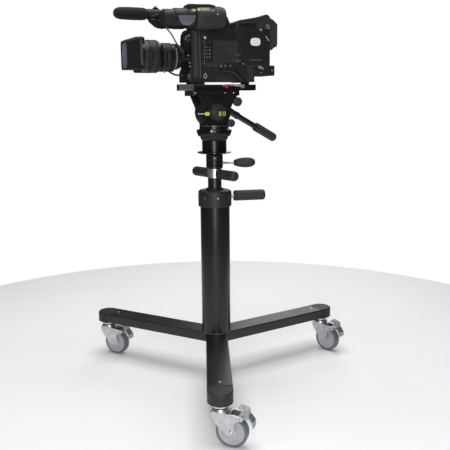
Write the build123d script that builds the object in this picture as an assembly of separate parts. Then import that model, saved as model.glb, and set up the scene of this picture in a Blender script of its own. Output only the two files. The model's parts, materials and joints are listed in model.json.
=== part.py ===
"""Broadcast camcorder on a rolling pedestal with a fluid head.

Millimetres. The origin is on the column's axis at floor level. +Z is up, the lens looks along -Y, and the
camcorder's left side, with its controls, faces +X. "Ahead" below is distance along -Y.
"""

import os
from math import cos, pi, radians, sin, tan

from build123d import *

# ---------------------------------------------------------------- driving dimensions
# Rolling base
LEG_ANGLES = {"front": -19.0, "left": 221.0, "right": 101.0}  # direction of each leg, degrees from +X
LEG_REACH = 510.0  # column axis to caster swivel axis
LEG_WIDTH = 80.0
LEG_HEIGHT = 38.0
LEG_WALL = 3.0
LEG_BOTTOM = 140.0
LEG_TOP = LEG_BOTTOM + LEG_HEIGHT
END_CAP_LENGTH = 28.0  # end cap's straight part, inboard of the swivel axis

# Casters
TRAIL_ANGLES = {"front": 52.0, "left": 44.0, "right": 25.0}  # way each caster trails, degrees from +X
WHEEL_RADIUS = 50.0
WHEEL_WIDTH = 30.0
CASTER_TRAIL = 38.0
FORK_INSIDE = 36.0
FORK_SHEET = 3.0
FORK_CROWN = 108.0  # underside of the fork's bridge
RACE_TOP = 136.0

# Column and ram
COLUMN_RADIUS = 53.0
COLUMN_WALL = 3.0
CAP_RADIUS = 60.0
CAP_BOTTOM = 654.0
CAP_TOP = 712.0
RAM_RADIUS = 24.5
RAM_TOP = 756.0
RAM_BOTTOM = 250.0
SPIGOT_RADIUS = 16.0
RUN_FIT = 0.05  # radial running clearance
GAP = 0.3  # gap between faces that move past each other

# Handles on the column
SIDE_HANDLE_ANGLE = 80.0
SIDE_HANDLE_Z = 688.0
T_HANDLE_ANGLE = 16.0
T_HANDLE_Z = 770.5
T_HANDLE_REACH = 126.0
LEVER_ANGLE = 78.0
LEVER_Z = 808.0

# Bowl and fluid head
COLLAR_RADIUS = 30.0
COLLAR_TOP = 844.0
BOWL_TOP = 911.0
BALL_RADIUS = 37.5
BALL_Z = 918.0
RIM_RADIUS = 58.0
PAN_Z = 930.0  # plane on which the head pans
TILT_Y = -5.0
TILT_Z = 988.0
DRUM_RADIUS = 53.0
DRUM_HALF = 40.0
CHEEK_OUTER = 52.0
CHEEK_RADIUS = 43.0
PLATFORM_Z = 1045.0
PLATFORM_TOP = 1063.0

# Adapter plate and camcorder
PLATE_TOP = 1083.0
PLATE_HALF = 31.0
BODY_BOTTOM = 1091.0
BODY_TOP = 1268.0
BODY_HALF = 62.0
BODY_FRONT = 100.0  # ahead of the column axis
BODY_REAR = -188.0
LENS_Z = 1176.0
FLANGE_RADIUS = 52.0  # front of the lens barrel
GLASS_RADIUS = 39.9
HOOD_HALF = 49.0
HOOD_FRONT = 314.0  # ahead of the column axis
HOOD_BOTTOM = 1132.0
MIC_X, MIC_Z = -72.0, 1321.0
VF_X, VF_Z, VF_TILT = 96.0, 1297.0, 2.0


# ---------------------------------------------------------------- helpers
def block(x, y, z, radius=0.0, along=None):
    """A box between the given (low, high) pairs, with the edges along one axis rounded."""
    size = [high - low for low, high in (x, y, z)]
    centre = [(high + low) / 2 for low, high in (x, y, z)]
    solid = Pos(*centre) * Box(*size)
    if radius:
        solid = fillet(solid.edges().filter_by(along), radius)
    return solid


def drum(axis, centre, radius, low, high):
    """A cylinder along X, Y or Z from low to high; centre gives the two other coordinates."""
    turn = {"x": Rot(0, 90, 0), "y": Rot(-90, 0, 0), "z": Rot(0, 0, 0)}[axis]
    place = {
        "x": (low, centre[0], centre[1]),
        "y": (centre[0], low, centre[1]),
        "z": (centre[0], centre[1], low),
    }[axis]
    stand = (Align.CENTER, Align.CENTER, Align.MIN)
    return Pos(*place) * turn * Cylinder(radius, high - low, align=stand)


def pipe(axis, centre, outer, inner, low, high):
    """A tube along X, Y or Z."""
    return drum(axis, centre, outer, low, high) - drum(axis, centre, inner, low - 1, high + 1)


def turned(points):
    """A solid of revolution about Z from (radius, height) points."""
    face = Plane.XZ * make_face(Polyline(*points, close=True))
    return revolve(face, Axis.Z, 360)


def side_profile(points, low, high):
    """A solid with an outline of (y, z) points, from x = low to x = high."""
    face = Plane.YZ.offset(low) * make_face(Polyline(*points, close=True))
    return extrude(face, high - low)


def ahead(points):
    """Turns (distance ahead, height) points into (y, z) points."""
    return [(-u, z) for u, z in points]


def rod(start, end, radius):
    """A round bar between two points."""
    axis = Vector(*end) - Vector(*start)
    plane = Plane(origin=start, z_dir=axis)
    return extrude(plane * Circle(radius), axis.length)


def around(angle, distance, z):
    """The point at this angle and distance from the column axis."""
    return (distance * cos(radians(angle)), distance * sin(radians(angle)), z)


def radial(angle, z, offset=0.0):
    """A frame on the column axis whose local X points outwards at this angle."""
    return Pos(0, 0, z) * Rot(0, 0, angle) * Pos(offset, 0, 0)


def lens_frame():
    """Local Z runs ahead along the lens axis, from the column axis."""
    return Pos(0, 0, LENS_Z) * Rot(90, 0, 0)


def viewfinder_frame():
    """Local Z runs ahead along the viewfinder's slightly drooping axis."""
    return Pos(VF_X, 0, VF_Z) * Rot(90 + VF_TILT, 0, 0)


def rounded_bar(length, radius, nose):
    """A grip along Z from 0 to length, with both ends rounded by nose."""
    return fillet(Cylinder(radius, length, align=(Align.CENTER, Align.CENTER, Align.MIN)).edges(), nose)


# ---------------------------------------------------------------- rolling base
def leg_frame():
    tube_end = LEG_REACH - END_CAP_LENGTH
    half, wall = LEG_WIDTH / 2, LEG_WALL
    outer, inner = None, None
    for angle in LEG_ANGLES.values():
        skin = block((0, tube_end), (-half, half), (LEG_BOTTOM, LEG_TOP), 5, Axis.X)
        core = block((0, tube_end + 1), (wall - half, half - wall), (LEG_BOTTOM + wall, LEG_TOP - wall))
        skin, core = Rot(0, 0, angle) * skin, Rot(0, 0, angle) * core
        outer = skin if outer is None else outer + skin
        inner = core if inner is None else inner + core
    return outer - inner


def leg_end_caps():
    half, inset, tongue = LEG_WIDTH / 2, LEG_WALL + GAP, 30
    caps = []
    for angle in LEG_ANGLES.values():
        start = LEG_REACH - END_CAP_LENGTH
        body = drum("z", (LEG_REACH, 0), half, LEG_BOTTOM, LEG_TOP)
        body += block((start - half, LEG_REACH), (-half, half), (LEG_BOTTOM, LEG_TOP))
        body &= block((start, LEG_REACH + half), (-half, half), (LEG_BOTTOM, LEG_TOP))
        body = fillet(body.edges().filter_by(Plane.XY).sort_by(Axis.Z)[-3:], 5)
        body += block(
            (start - tongue, start), (inset - half, half - inset), (LEG_BOTTOM + inset, LEG_TOP - inset)
        )
        body -= drum("z", (LEG_REACH, 0), 6.1, LEG_BOTTOM - 1, LEG_TOP - 10)
        caps.append(Rot(0, 0, angle) * body)
    return caps


def frame_screws():
    heads = []
    for angle in LEG_ANGLES.values():
        x, y, z = around(angle, LEG_REACH - 52, LEG_TOP)
        heads.append(fillet(drum("z", (x, y), 5, z, z + 2).edges().sort_by(Axis.Z)[-1], 1))
    screw_spacing = 45
    for k in range(1, 360 // screw_spacing):
        place = radial(SIDE_HANDLE_ANGLE + screw_spacing * k, SIDE_HANDLE_Z, CAP_RADIUS)
        heads.append(place * drum("x", (0, 0), 3.5, 0, 2.5))
    return heads


def stud_hole():
    """Clearance for the side handle's stud, through everything round the ram."""
    return radial(SIDE_HANDLE_ANGLE, SIDE_HANDLE_Z) * drum("x", (0, 0), 6.1, 10, CAP_RADIUS + 5)


def column_tube():
    inner = COLUMN_RADIUS - COLUMN_WALL
    tube = pipe("z", (0, 0), COLUMN_RADIUS, inner, LEG_TOP, 698)
    tube -= stud_hole()
    foot = pipe("z", (0, 0), COLUMN_RADIUS + 3, COLUMN_RADIUS - 1, LEG_TOP, LEG_TOP + 4)
    return tube + foot


def column_cap():
    bush_outer = 29.0
    cap = drum("z", (0, 0), CAP_RADIUS, CAP_BOTTOM, CAP_TOP)
    cap = fillet(cap.edges().sort_by(Axis.Z)[-1], 9)
    cap = chamfer(cap.edges().sort_by(Axis.Z)[0], 1.5)
    cap -= drum("z", (0, 0), COLUMN_RADIUS + 0.1, CAP_BOTTOM - 1, 698.1)
    cap -= drum("z", (0, 0), bush_outer + 0.05, 690, CAP_TOP + 1)
    cap -= stud_hole()
    bush = pipe("z", (0, 0), bush_outer, RAM_RADIUS + RUN_FIT, 680, CAP_TOP + 4)
    bush += pipe("z", (0, 0), bush_outer + 4, RAM_RADIUS + RUN_FIT, CAP_TOP + 0.1, CAP_TOP + 4)
    bush -= stud_hole()
    return [cap, bush]


def caster_stems():
    stems = []
    for angle in LEG_ANGLES.values():
        x, y, _ = around(angle, LEG_REACH, 0)
        race = turned([(0, 124), (20, 124), (26, 127), (26, 132), (16, RACE_TOP), (0, RACE_TOP)])
        nut = extrude(Plane.XY.offset(RACE_TOP) * RegularPolygon(12, 6), LEG_BOTTOM - RACE_TOP)
        stem = drum("z", (0, 0), 6, RACE_TOP, LEG_TOP - 16)
        pin = drum("z", (0, 0), 5, 113, 125)
        stems.append(Pos(x, y, 0) * (race + nut + stem + pin))
    return stems


def gas_strut_cylinder():
    body = pipe("z", (0, 0), 14, 12, 184, 590)
    floor = drum("z", (0, 0), 14, LEG_TOP, 184)
    gland = pipe("z", (0, 0), 12.5, 5 + RUN_FIT, 578, 590)
    return body + floor + gland


def side_handle():
    """A grip on a threaded stud that clamps the ram through the cap."""
    place = radial(SIDE_HANDLE_ANGLE, SIDE_HANDLE_Z)
    stud = drum("x", (0, 0), 6, RAM_RADIUS + 0.2, 74)
    grip = Pos(70, 0, 0) * Rot(0, 90, 0) * rounded_bar(116, 19, 8)
    grip -= drum("x", (0, 0), 6.02, 60, 74.02)
    return [place * stud, place * grip]


# ---------------------------------------------------------------- casters
def caster_place(name):
    """A caster's own frame: swivel axis on Z, trailing along +X."""
    x, y, _ = around(LEG_ANGLES[name], LEG_REACH, 0)
    return Pos(x, y, 0) * Rot(0, 0, TRAIL_ANGLES[name])


def caster_fork():
    inside, outside = FORK_INSIDE / 2, FORK_INSIDE / 2 + FORK_SHEET
    outline = [(-27, 112), (-22, 92), (6, 56), (26, 42), (50, 42), (54, 52), (48, 74), (50, 86)]
    outline += [(60, 92), (74, 94), (77, 106), (60, 108), (30, 112)]
    cheek_face = Plane.XZ * make_face(Polyline(*outline, close=True))
    cheek = fillet(extrude(cheek_face, FORK_SHEET).edges().filter_by(Axis.Y), 3)
    fork = Pos(0, -inside, 0) * cheek + Pos(0, outside, 0) * cheek
    fork += block((-27, 36), (-outside, outside), (FORK_CROWN, 112), 3, Axis.Z)
    fork += turned([(5.2, 112), (29, 112), (29, 117), (26, 123.4), (5.2, 123.4)])
    fork -= drum("z", (0, 0), 5.1, 100, 130)
    fork -= drum("y", (CASTER_TRAIL, WHEEL_RADIUS), 4.02, -30, 30)
    fork -= drum("y", (66, 100), 3.05, -30, 30)
    axle = drum("y", (CASTER_TRAIL, WHEEL_RADIUS), 4, -outside - 2, outside + 2)
    for low, high in ((-outside - 5, -outside), (outside, outside + 5)):
        axle += drum("y", (CASTER_TRAIL, WHEEL_RADIUS), 7, low, high)
    return [fork, axle]


def caster_wheel():
    """Hub and bonded tread."""
    half = WHEEL_WIDTH / 2
    rim, bore = WHEEL_RADIUS - 9, 4 + RUN_FIT
    hub = turned(
        [(bore, -half), (12, -half), (14, 4 - half), (32, 6 - half), (rim - 4, 2 - half), (rim, 2 - half)]
        + [(rim, half - 2), (rim - 4, half - 2), (32, half - 6), (14, half - 4), (12, half), (bore, half)]
    )
    tread = turned(
        [(rim + 0.02, 2 - half), (46, 1 - half), (49, 5 - half), (WHEEL_RADIUS, 9 - half)]
        + [(WHEEL_RADIUS, half - 9), (49, half - 5), (46, half - 1), (rim + 0.02, half - 2)]
    )
    place = Pos(CASTER_TRAIL, 0, WHEEL_RADIUS) * Rot(90, 0, 0)
    return [place * hub, place * tread]


def caster_brake():
    """Rocking brake pedal: an upper tab to release, a lower tab to press, and the shoe."""
    outline = [(60, 130), (84, 123), (84, 116), (88, 106), (102, 88), (104, 74), (108, 74), (107, 91)]
    outline += [(92, 109), (89, 126), (61, 134)]
    face = Plane.XZ.offset(-15) * make_face(Polyline(*outline, close=True))
    pedal = extrude(face, 30)
    pedal += block((61, 90), (-12, 12), (98, 107))
    pedal += drum("y", (66, 100), 7, -17, 17)
    pedal += block((67, 77), (-10, 10), (93, 99))
    pin = drum("y", (66, 100), 3, -FORK_INSIDE / 2 - FORK_SHEET - 1, FORK_INSIDE / 2 + FORK_SHEET + 1)
    return pedal + pin


# ---------------------------------------------------------------- ram, handles and bowl
def ram_tube():
    ram = drum("z", (0, 0), RAM_RADIUS, RAM_BOTTOM, RAM_TOP)
    ram += drum("z", (0, 0), COLUMN_RADIUS - COLUMN_WALL - 0.4, RAM_BOTTOM, RAM_BOTTOM + 20)
    ram += drum("z", (0, 0), SPIGOT_RADIUS, RAM_TOP, COLLAR_TOP - 4)
    return ram - drum("z", (0, 0), 19, RAM_BOTTOM - 1, 740)


def gas_strut_rod():
    return drum("z", (0, 0), 5, 215, 740) + drum("z", (0, 0), 11.8, 210, 222)


def t_handle_hub():
    hub = pipe("z", (0, 0), 25.5, SPIGOT_RADIUS + RUN_FIT, RAM_TOP + 0.5, 789.5)
    hub = chamfer(hub.edges().filter_by(GeomType.CIRCLE).sort_by(Axis.Z)[-1], 0.8)
    for way in (T_HANDLE_ANGLE, T_HANDLE_ANGLE + 180):
        hub += radial(way, T_HANDLE_Z) * drum("x", (0, 0), 5, 22, 60)
    return hub


def t_handle_grips():
    start, grips = 26.0, []
    for way in (T_HANDLE_ANGLE, T_HANDLE_ANGLE + 180):
        grip = Pos(start, 0, 0) * Rot(0, 90, 0) * rounded_bar(T_HANDLE_REACH - start, 17.5, 10)
        grip -= drum("x", (0, 0), 5.02, 20, 60.02)
        grips.append(radial(way, T_HANDLE_Z) * grip)
    return grips


def mount_collar():
    """Round block that carries the bowl; the clamp lever's ring turns in its groove."""
    profile = [(SPIGOT_RADIUS + 0.05, 790), (28, 790), (COLLAR_RADIUS, 792), (COLLAR_RADIUS, 799)]
    profile += [(26, 799), (26, 817), (COLLAR_RADIUS, 817), (COLLAR_RADIUS, 838)]
    profile += [(28, 840), (20, 840), (20, COLLAR_TOP), (SPIGOT_RADIUS + 0.05, COLLAR_TOP)]
    collar = turned(profile)
    knob_hole = radial(LEG_ANGLES["front"], 829) * drum("x", (0, 0), 3.05, SPIGOT_RADIUS, 40)
    return collar - knob_hole


def clamp_lever():
    ring = pipe("z", (0, 0), COLLAR_RADIUS, 26 + RUN_FIT, 799.2, 816.8)
    place = radial(LEVER_ANGLE, LEVER_Z)
    bar = place * drum("x", (0, 0), 4, 28, 82)
    grip_profile = [(4.02, 70), (9, 70), (12, 76), (16.5, 94), (18, 116), (17, 132), (13, 143), (6, 148)]
    grip = turned([*grip_profile, (0, 149), (0, 82.02), (4.02, 82.02)])
    return [ring + bar, place * Rot(0, 90, 0) * grip]


def collar_knob():
    place = radial(LEG_ANGLES["front"], 829)
    screw = drum("x", (0, 0), 3, 20, 34)
    head = fillet(drum("x", (0, 0), 8.5, 31, 43).edges().sort_by(Axis.X)[-1], 2)
    return place * (screw + head)


def bowl():
    profile = [(0, COLLAR_TOP), (56, COLLAR_TOP), (60, 846), (60, 849), (43.5, 851), (43.5, 889)]
    profile += [(48, BOWL_TOP), (0, BOWL_TOP)]
    cup = turned(profile)
    cup -= Pos(0, 0, BALL_Z) * Sphere(BALL_RADIUS + 0.1)
    return cup - drum("z", (0, 0), 12, 850, 900)


# ---------------------------------------------------------------- fluid head
def head_base():
    """Half ball with the pan table's lower plate."""
    ball = Pos(0, 0, BALL_Z) * Sphere(BALL_RADIUS)
    ball -= block((-60, 60), (-60, 60), (BALL_Z, 990))
    rim = [(44, BALL_Z), (RIM_RADIUS, BALL_Z + 3), (RIM_RADIUS, PAN_Z - 3), (54, PAN_Z)]
    plate = turned([(0, BALL_Z), *rim, (0, PAN_Z)])
    spigot = drum("z", (0, 0), 12, PAN_Z, PAN_Z + 14)
    return ball + plate + spigot


def head_housing():
    turntable = drum("z", (0, 0), 52, PAN_Z + GAP, 944)
    neck = block((-36, 36), (-46, 44), (944, TILT_Z), 12, Axis.Z)
    barrel = drum("x", (TILT_Y, TILT_Z), DRUM_RADIUS, -DRUM_HALF, DRUM_HALF)
    housing = turntable + neck + barrel
    housing -= drum("z", (0, 0), 12 + RUN_FIT, PAN_Z, PAN_Z + 14.5)
    housing -= drum("x", (TILT_Y, TILT_Z), 10 + RUN_FIT, -DRUM_HALF - 1, DRUM_HALF + 1)
    boss = drum("x", (41, 951), 9, 20, 41)
    return housing + boss - drum("x", (41, 951), 4.05, 24, 42)


def tilt_axle():
    axle = drum("x", (TILT_Y, TILT_Z), 10, -CHEEK_OUTER - 1, CHEEK_OUTER + 1)
    return axle


def tilt_cradle():
    """Side cheeks joined by the camera platform."""
    inner = DRUM_HALF + 1
    cradle = block((-46, 46), (-94, 81), (PLATFORM_Z, PLATFORM_TOP), 6, Axis.Z)
    for low, high in ((-CHEEK_OUTER, -inner), (inner, CHEEK_OUTER)):
        cheek = drum("x", (TILT_Y, TILT_Z), CHEEK_RADIUS, low, high)
        cheek += side_profile([(-47, TILT_Z), (-72, 1047), (66, 1047), (37, TILT_Z)], low, high)
        cradle += cheek
    cradle += block((-inner - 1, inner + 1), (62, 72), (1043, 1047))
    cradle -= drum("x", (TILT_Y, TILT_Z), 10.02, -60, 60)
    rosette_boss = drum("x", (50, 1012), 17, -62, -CHEEK_OUTER + 2)
    knob_boss = drum("x", (66, 1024), 8, 34, 42)
    web = block((41, CHEEK_OUTER), (40, 66), (1018, 1047))
    cradle += rosette_boss + knob_boss + web
    cradle += block((-CHEEK_OUTER, -inner), (30, 62), (1000, 1047))
    cradle -= drum("x", (66, 1024), 4.05, 30, 60)
    cradle -= drum("x", (50, 1012), 5.05, -70, -30)
    return cradle


def knob_on_x(y, z, start, radius, thick, stem):
    """A fluted hand knob facing +X, with its threaded stem behind it."""
    head = drum("x", (y, z), radius, start, start + thick)
    head = fillet(head.edges().sort_by(Axis.X)[-1], 2.5)
    return head + drum("x", (y, z), 4, start - stem, start)


def slide_lock_knob():
    return knob_on_x(66, 1024, CHEEK_OUTER + 1, 16, 14, 16)


def pan_lock_knob():
    return knob_on_x(41, 951, CHEEK_OUTER + 1.5, 14, 14, 26)


PAN_BAR_ROOT = (-77.0, 50.0, 1012.0)
PAN_BAR_WAY = (-0.43, 0.82, -0.38)


def along_bar(distance):
    """A point on the pan bar's axis."""
    way = Vector(*PAN_BAR_WAY).normalized()
    return tuple(Vector(*PAN_BAR_ROOT) + way * distance)


def pan_bar():
    rosette = drum("x", (50, 1012), 17, -72, -62.3) + drum("x", (50, 1012), 5, -63, -44)
    clamp = rod(along_bar(-2), along_bar(110), 13)
    tube = rod(along_bar(105), along_bar(320), 11)
    cap = drum("x", (50, 1012), 11, -92, -72)
    return rosette + clamp + tube + cap


def pan_bar_grip():
    start, end, radius = 225.0, 358.0, 17.0
    grip = fillet(rod(along_bar(start), along_bar(end), radius).edges(), 7)
    return grip - rod(along_bar(start - 5), along_bar(320.02), 11.02)


# ---------------------------------------------------------------- adapter plate
def adapter_plate():
    """Wedge plate: a floor, two rails and a pointed nose."""
    rear, front, nose = -148, 84, 131
    half = PLATE_HALF
    plan = [(-half, -front), (-13, -nose), (13, -nose), (half, -front), (half, -rear), (-half, -rear)]
    face = Plane.XY.offset(PLATFORM_TOP) * make_face(Polyline(*plan, close=True))
    plate = extrude(face, PLATE_TOP - PLATFORM_TOP)
    channel = 22.0
    plate -= block((-channel, channel), (-96, 149), (1071, PLATE_TOP + 1))
    plate -= drum("x", (34, 1077), 4.05, 20, 40)
    plate -= drum("x", (96, 1077), 3.05, 20, 40)
    return plate


def release_button():
    return drum("x", (34, 1077), 4, 24, 36) + fillet(
        drum("x", (34, 1077), 7, 36, 42).edges().sort_by(Axis.X)[-1], 2
    )


def plate_lock_lever():
    """A long lever along the plate's left side."""
    pin = drum("x", (96, 1077), 3, 24, 32)
    hub = drum("x", (96, 1077), 7, PLATE_HALF + GAP, 37)
    arm = side_profile([(50, 1079), (50, 1084), (96, 1084), (96, 1074)], PLATE_HALF + 1.3, 36)
    tab = block((PLATE_HALF + 1.3, 44), (44, 54), (1078, 1084))
    return pin + hub + arm + tab


# ---------------------------------------------------------------- camcorder
ARCH_Y, ARCH_Z, ARCH_RADIUS = 30.0, 1066.0, 67.0


def camera_chassis():
    """Hollow body with the lens mount, and the two feet that lock into the adapter plate."""
    outline = ahead(
        [(BODY_FRONT + 8, BODY_BOTTOM), (BODY_FRONT + 8, 1120), (BODY_FRONT, 1140), (BODY_FRONT, 1250)]
        + [(88, BODY_TOP), (BODY_REAR, BODY_TOP), (BODY_REAR, 1147), (-206, 1147), (-206, 1113)]
        + [(-129, 1113), (-129, BODY_BOTTOM)]
    )
    shell = side_profile(outline, -BODY_HALF, BODY_HALF)
    shell = fillet(shell.edges().filter_by(Axis.Z).sort_by(Axis.Y)[:4], 6)
    shell -= drum("x", (ARCH_Y, ARCH_Z), ARCH_RADIUS, -70, 70)
    shell -= block((-56, 56), (-92, 181), (1142, 1260))
    shell -= drum("y", (0, LENS_Z), 26, -110, -90)
    mount_ring = pipe("y", (0, LENS_Z), 36, 26, -BODY_FRONT - 6, -BODY_FRONT + 1)
    wedge = block((-20, 20), (-94, -40), (1071.3, BODY_BOTTOM))
    rear_foot = block((-20, 20), (110, 127), (1071.3, BODY_BOTTOM))
    battery_plate = block((-40, 40), (-BODY_REAR, -BODY_REAR + 3), (1206, 1266))
    knob_seat = drum("y", (38, 1230), 4.05, -BODY_FRONT - 1, -90)
    plug = drum("y", (50, 1167), 6, -129, -99) + drum("z", (50, -123), 4.5, 1167, 1176)
    lens_gland = drum("y", (15, 1114), 5.5, -113, -107)
    shell += mount_ring + battery_plate + plug + lens_gland
    return [shell - knob_seat, wedge, rear_foot]


def side_cover():
    """Thin outer panel on the left side, around the door."""
    outline = ahead(
        [(96, 1100), (96, 1262), (-60, 1262), (-60, 1235), (-70, 1229), (-100, 1170), (-122, 1160)]
        + [(-122, 1150), (-95, 1150), (-95, 1096), (-88, 1096)]
    )
    cover = side_profile([*outline, (62, 1132), (30, 1140), (-2, 1132), (-30, 1096)], BODY_HALF + 0.1, 66)
    cover = fillet(cover.edges().filter_by(Axis.X), 2)
    cover -= block((60, 70), (-26, 68), (1151, 1229))
    return cover


def audio_door():
    """Flap over the audio controls, hinged along its lower edge."""
    door = block((BODY_HALF + 0.4, 66), (-25, 67), (1156, 1228), 3, Axis.X)
    return door + drum("y", (64, 1154.5), 2, -24, 66)


def shoulder_pad():
    """Cushion that fills the shoulder arch, with a rim left round its recessed left face."""
    pad = drum("x", (ARCH_Y, ARCH_Z), ARCH_RADIUS - 0.2, -52, 58)
    pad -= drum("x", (ARCH_Y, ARCH_Z), ARCH_RADIUS - 9, 34, 60)
    return pad - block((-70, 70), (-60, 120), (980, BODY_BOTTOM + 1))


def top_handle():
    """Carrying handle: front and rear posts with a grip bar between them."""
    outline = ahead(
        [(92, BODY_TOP), (96, 1300), (88, 1312), (60, 1320), (-20, 1320), (-48, 1312), (-58, 1290)]
        + [(-58, BODY_TOP)]
    )
    handle = side_profile(outline, -14, 14)
    window = side_profile(
        ahead([(64, BODY_TOP - 1), (66, 1290), (56, 1299), (-20, 1299), (-30, 1290), (-34, BODY_TOP - 1)]),
        -20,
        20,
    )
    handle -= fillet(window.edges().filter_by(Axis.X), 4)
    handle = fillet(handle.edges().filter_by(Axis.Y).sort_by(Axis.Z)[-2:], 4)
    handle += block((-14, 14), (-116, -88), (1272, 1311), 4, Axis.X)
    handle -= drum("x", (-104, 1299), 5 + RUN_FIT, -20, 20)
    shoe = block((-11, 11), (-86, -64), (1310, 1323)) - block((-9.5, 9.5), (-87, -63), (1320, 1321.6))
    shoe -= block((-6, 6), (-87, -63), (1320, 1325))
    return handle + shoe - drum("z", (0, 0), 3.175, 1308, 1330)


def sensor_block():
    """Prism and sensor head behind the lens mount."""
    block_body = block((-28, 28), (-86, -46), (LENS_Z - 26, LENS_Z + 26), 4, Axis.Y)
    board = block((-50, 50), (20, 23), (1146, 1256))
    return [block_body, board]


def rear_box():
    outline = ahead(
        [(-61, BODY_TOP + 0.1), (-61, 1288), (-74, 1296), (-158, 1311), (-170, 1318), (-180, 1318)]
        + [(BODY_REAR, 1311), (BODY_REAR, BODY_TOP + 0.1)]
    )
    return side_profile(outline, -58, 60)


def battery():
    start = BODY_REAR - 3.3
    outline = ahead(
        [(start, 1200), (-199, 1200), (-222, 1219), (-222, 1288), (-205, 1303), (start, 1309)]
    )
    pack = side_profile(outline, -46, 50)
    return fillet(pack.edges().filter_by(Axis.X).sort_by(Axis.Y)[-4:], 3)


def filter_knob():
    stem = drum("y", (38, 1230), 4, -BODY_FRONT - 1, -92)
    head = fillet(drum("y", (38, 1230), 13, -112, -BODY_FRONT - 1).edges().sort_by(Axis.Y)[0], 2)
    return stem + head


# ---------------------------------------------------------------- lens
def lens_barrel():
    """Fixed tube from the mount forwards; the three rings run in its grooves."""
    profile = [(24, 107), (34, 107), (34, 114), (28, 114), (28, 124), (40, 126), (40, 134), (38, 134)]
    profile += [(38, 150), (42, 150), (42, 156), (40, 156), (40, 190), (45, 192), (50, 200), (50, 204)]
    profile += [(46, 204), (46, 240), (FLANGE_RADIUS, 240), (FLANGE_RADIUS, 262)]
    profile += [(GLASS_RADIUS + 0.1, 262), (GLASS_RADIUS + 0.1, 254), (24, 180)]
    barrel = turned(profile)
    bayonet = pipe("z", (0, 0), 25.6, 24, 98, 108)
    return lens_frame() * (barrel + bayonet)


def lens_ring(inner, outer, start, end, bevel):
    ring = turned(
        [(inner + RUN_FIT, start), (outer - bevel, start), (outer, start + bevel), (outer, end - bevel)]
        + [(outer - bevel, end), (inner + RUN_FIT, end)]
    )
    return lens_frame() * ring


def iris_ring():
    return lens_ring(38, 43, 134.2, 149.8, 1)


def zoom_ring():
    ring = lens_ring(40, 45, 156.2, 189.8, 1)
    lever = lens_frame() * Rot(0, 0, 250) * drum("x", (0, 172), 3, 43, 56)
    return ring + lever


def focus_ring():
    return lens_ring(46, 54, 204.2, 239.8, 2)


def hood_section(distance, half, low, high, radius):
    """A rounded rectangle across the lens axis, this far ahead of the column axis."""
    plane = Plane(origin=(0, -distance, (low + high) / 2), x_dir=(1, 0, 0), z_dir=(0, -1, 0))
    return plane * RectangleRounded(2 * half, high - low, radius)


def lens_hood():
    """Rectangular hood with rounded corners; its clamp reaches back over the lens's front rim."""
    wall, half, front, rear, floor = 3.0, HOOD_HALF, HOOD_FRONT, 262.2, HOOD_BOTTOM
    outside = [(rear, 1236), (281, 1236), (front, 1226)]
    inside = [(rear + wall, 1232), (281, 1232), (front + 1, 1221.7)]
    hood = loft([hood_section(u, half, floor, top, 12) for u, top in outside], ruled=True)
    hood += side_profile(
        ahead([(rear + 1, 1206), (rear, 1206), (252, 1214), (252, 1231), (256, 1236), (rear + 1, 1236)]),
        12 - half,
        half - 12,
    )
    hood -= drum("y", (0, LENS_Z), FLANGE_RADIUS + 0.1, -rear, -240)
    hood -= loft([hood_section(u, half - wall, floor + wall, top, 12) for u, top in inside], ruled=True)
    return hood - drum("y", (0, LENS_Z), GLASS_RADIUS + 0.3, -rear - wall - 1, -rear + 1)


def lens_glass():
    edge = [(GLASS_RADIUS - 3, 250), (GLASS_RADIUS, 256), (GLASS_RADIUS, 264)]
    dome = turned([(0, 250), *edge, (33, 268), (22, 271), (11, 272.5), (0, 273)])
    return lens_frame() * dome


def lens_drive():
    """Servo unit and hand grip on the lens's right side, held by two brackets on the barrel."""
    front, rear, low, high, side = 268, 124, 1126, 1214, 60
    plan = [(-side, -260), (-78, -front), (-98, -256), (-100, -150), (-92, -128), (-side, -rear)]
    unit = extrude(Plane.XY.offset(low) * make_face(Polyline(*plan, close=True)), high - low)
    unit = fillet(unit.edges().filter_by(Axis.Z), 5)
    unit = fillet(unit.edges().filter_by(Plane.XY).sort_by(Axis.Z)[-6:], 4)
    outline = [(front + 1, low + 9), (front - 6, low), (196, low), (180, low + 4), (rear - 1, low + 4)]
    unit &= side_profile(ahead([*outline, (rear - 1, high), (front + 1, high)]), -110, -side)
    front_bracket = block((-side, -44), (-203.6, -192), (1148, 1204))
    front_bracket -= drum("y", (0, LENS_Z), 50.02, -210, -190)
    rear_bracket = block((-side, -34), (-133.6, -127), (1156, 1196))
    rear_bracket -= drum("y", (0, LENS_Z), 40.02, -140, -120)
    gland = drum("x", (-156, 1136), 5.5, -side - 2, 5 - side)
    drive = unit + front_bracket + rear_bracket + gland
    rocker_slot = block((-90, -70), (-208, -162), (1202, 1216))
    return drive - rocker_slot


def zoom_rocker():
    bar = drum("x", (-185, 1196), 22, -89.4, -70.6) & block((-90, -70), (-205, -165), (1207, 1222))
    return bar


# ---------------------------------------------------------------- microphone
def microphone():
    body = drum("y", (MIC_X, MIC_Z), 10.5, -226, -152)
    foam = Pos(MIC_X, 0, MIC_Z) * Rot(90, 0, 0) * turned(
        [(10.52, 218), (18, 218), (20.8, 224), (21.3, 300), (19.6, 316), (14, 326), (6, 330), (0, 330.5)]
        + [(0, 226.02), (10.52, 226.02)]
    )
    return [body, foam]


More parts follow.
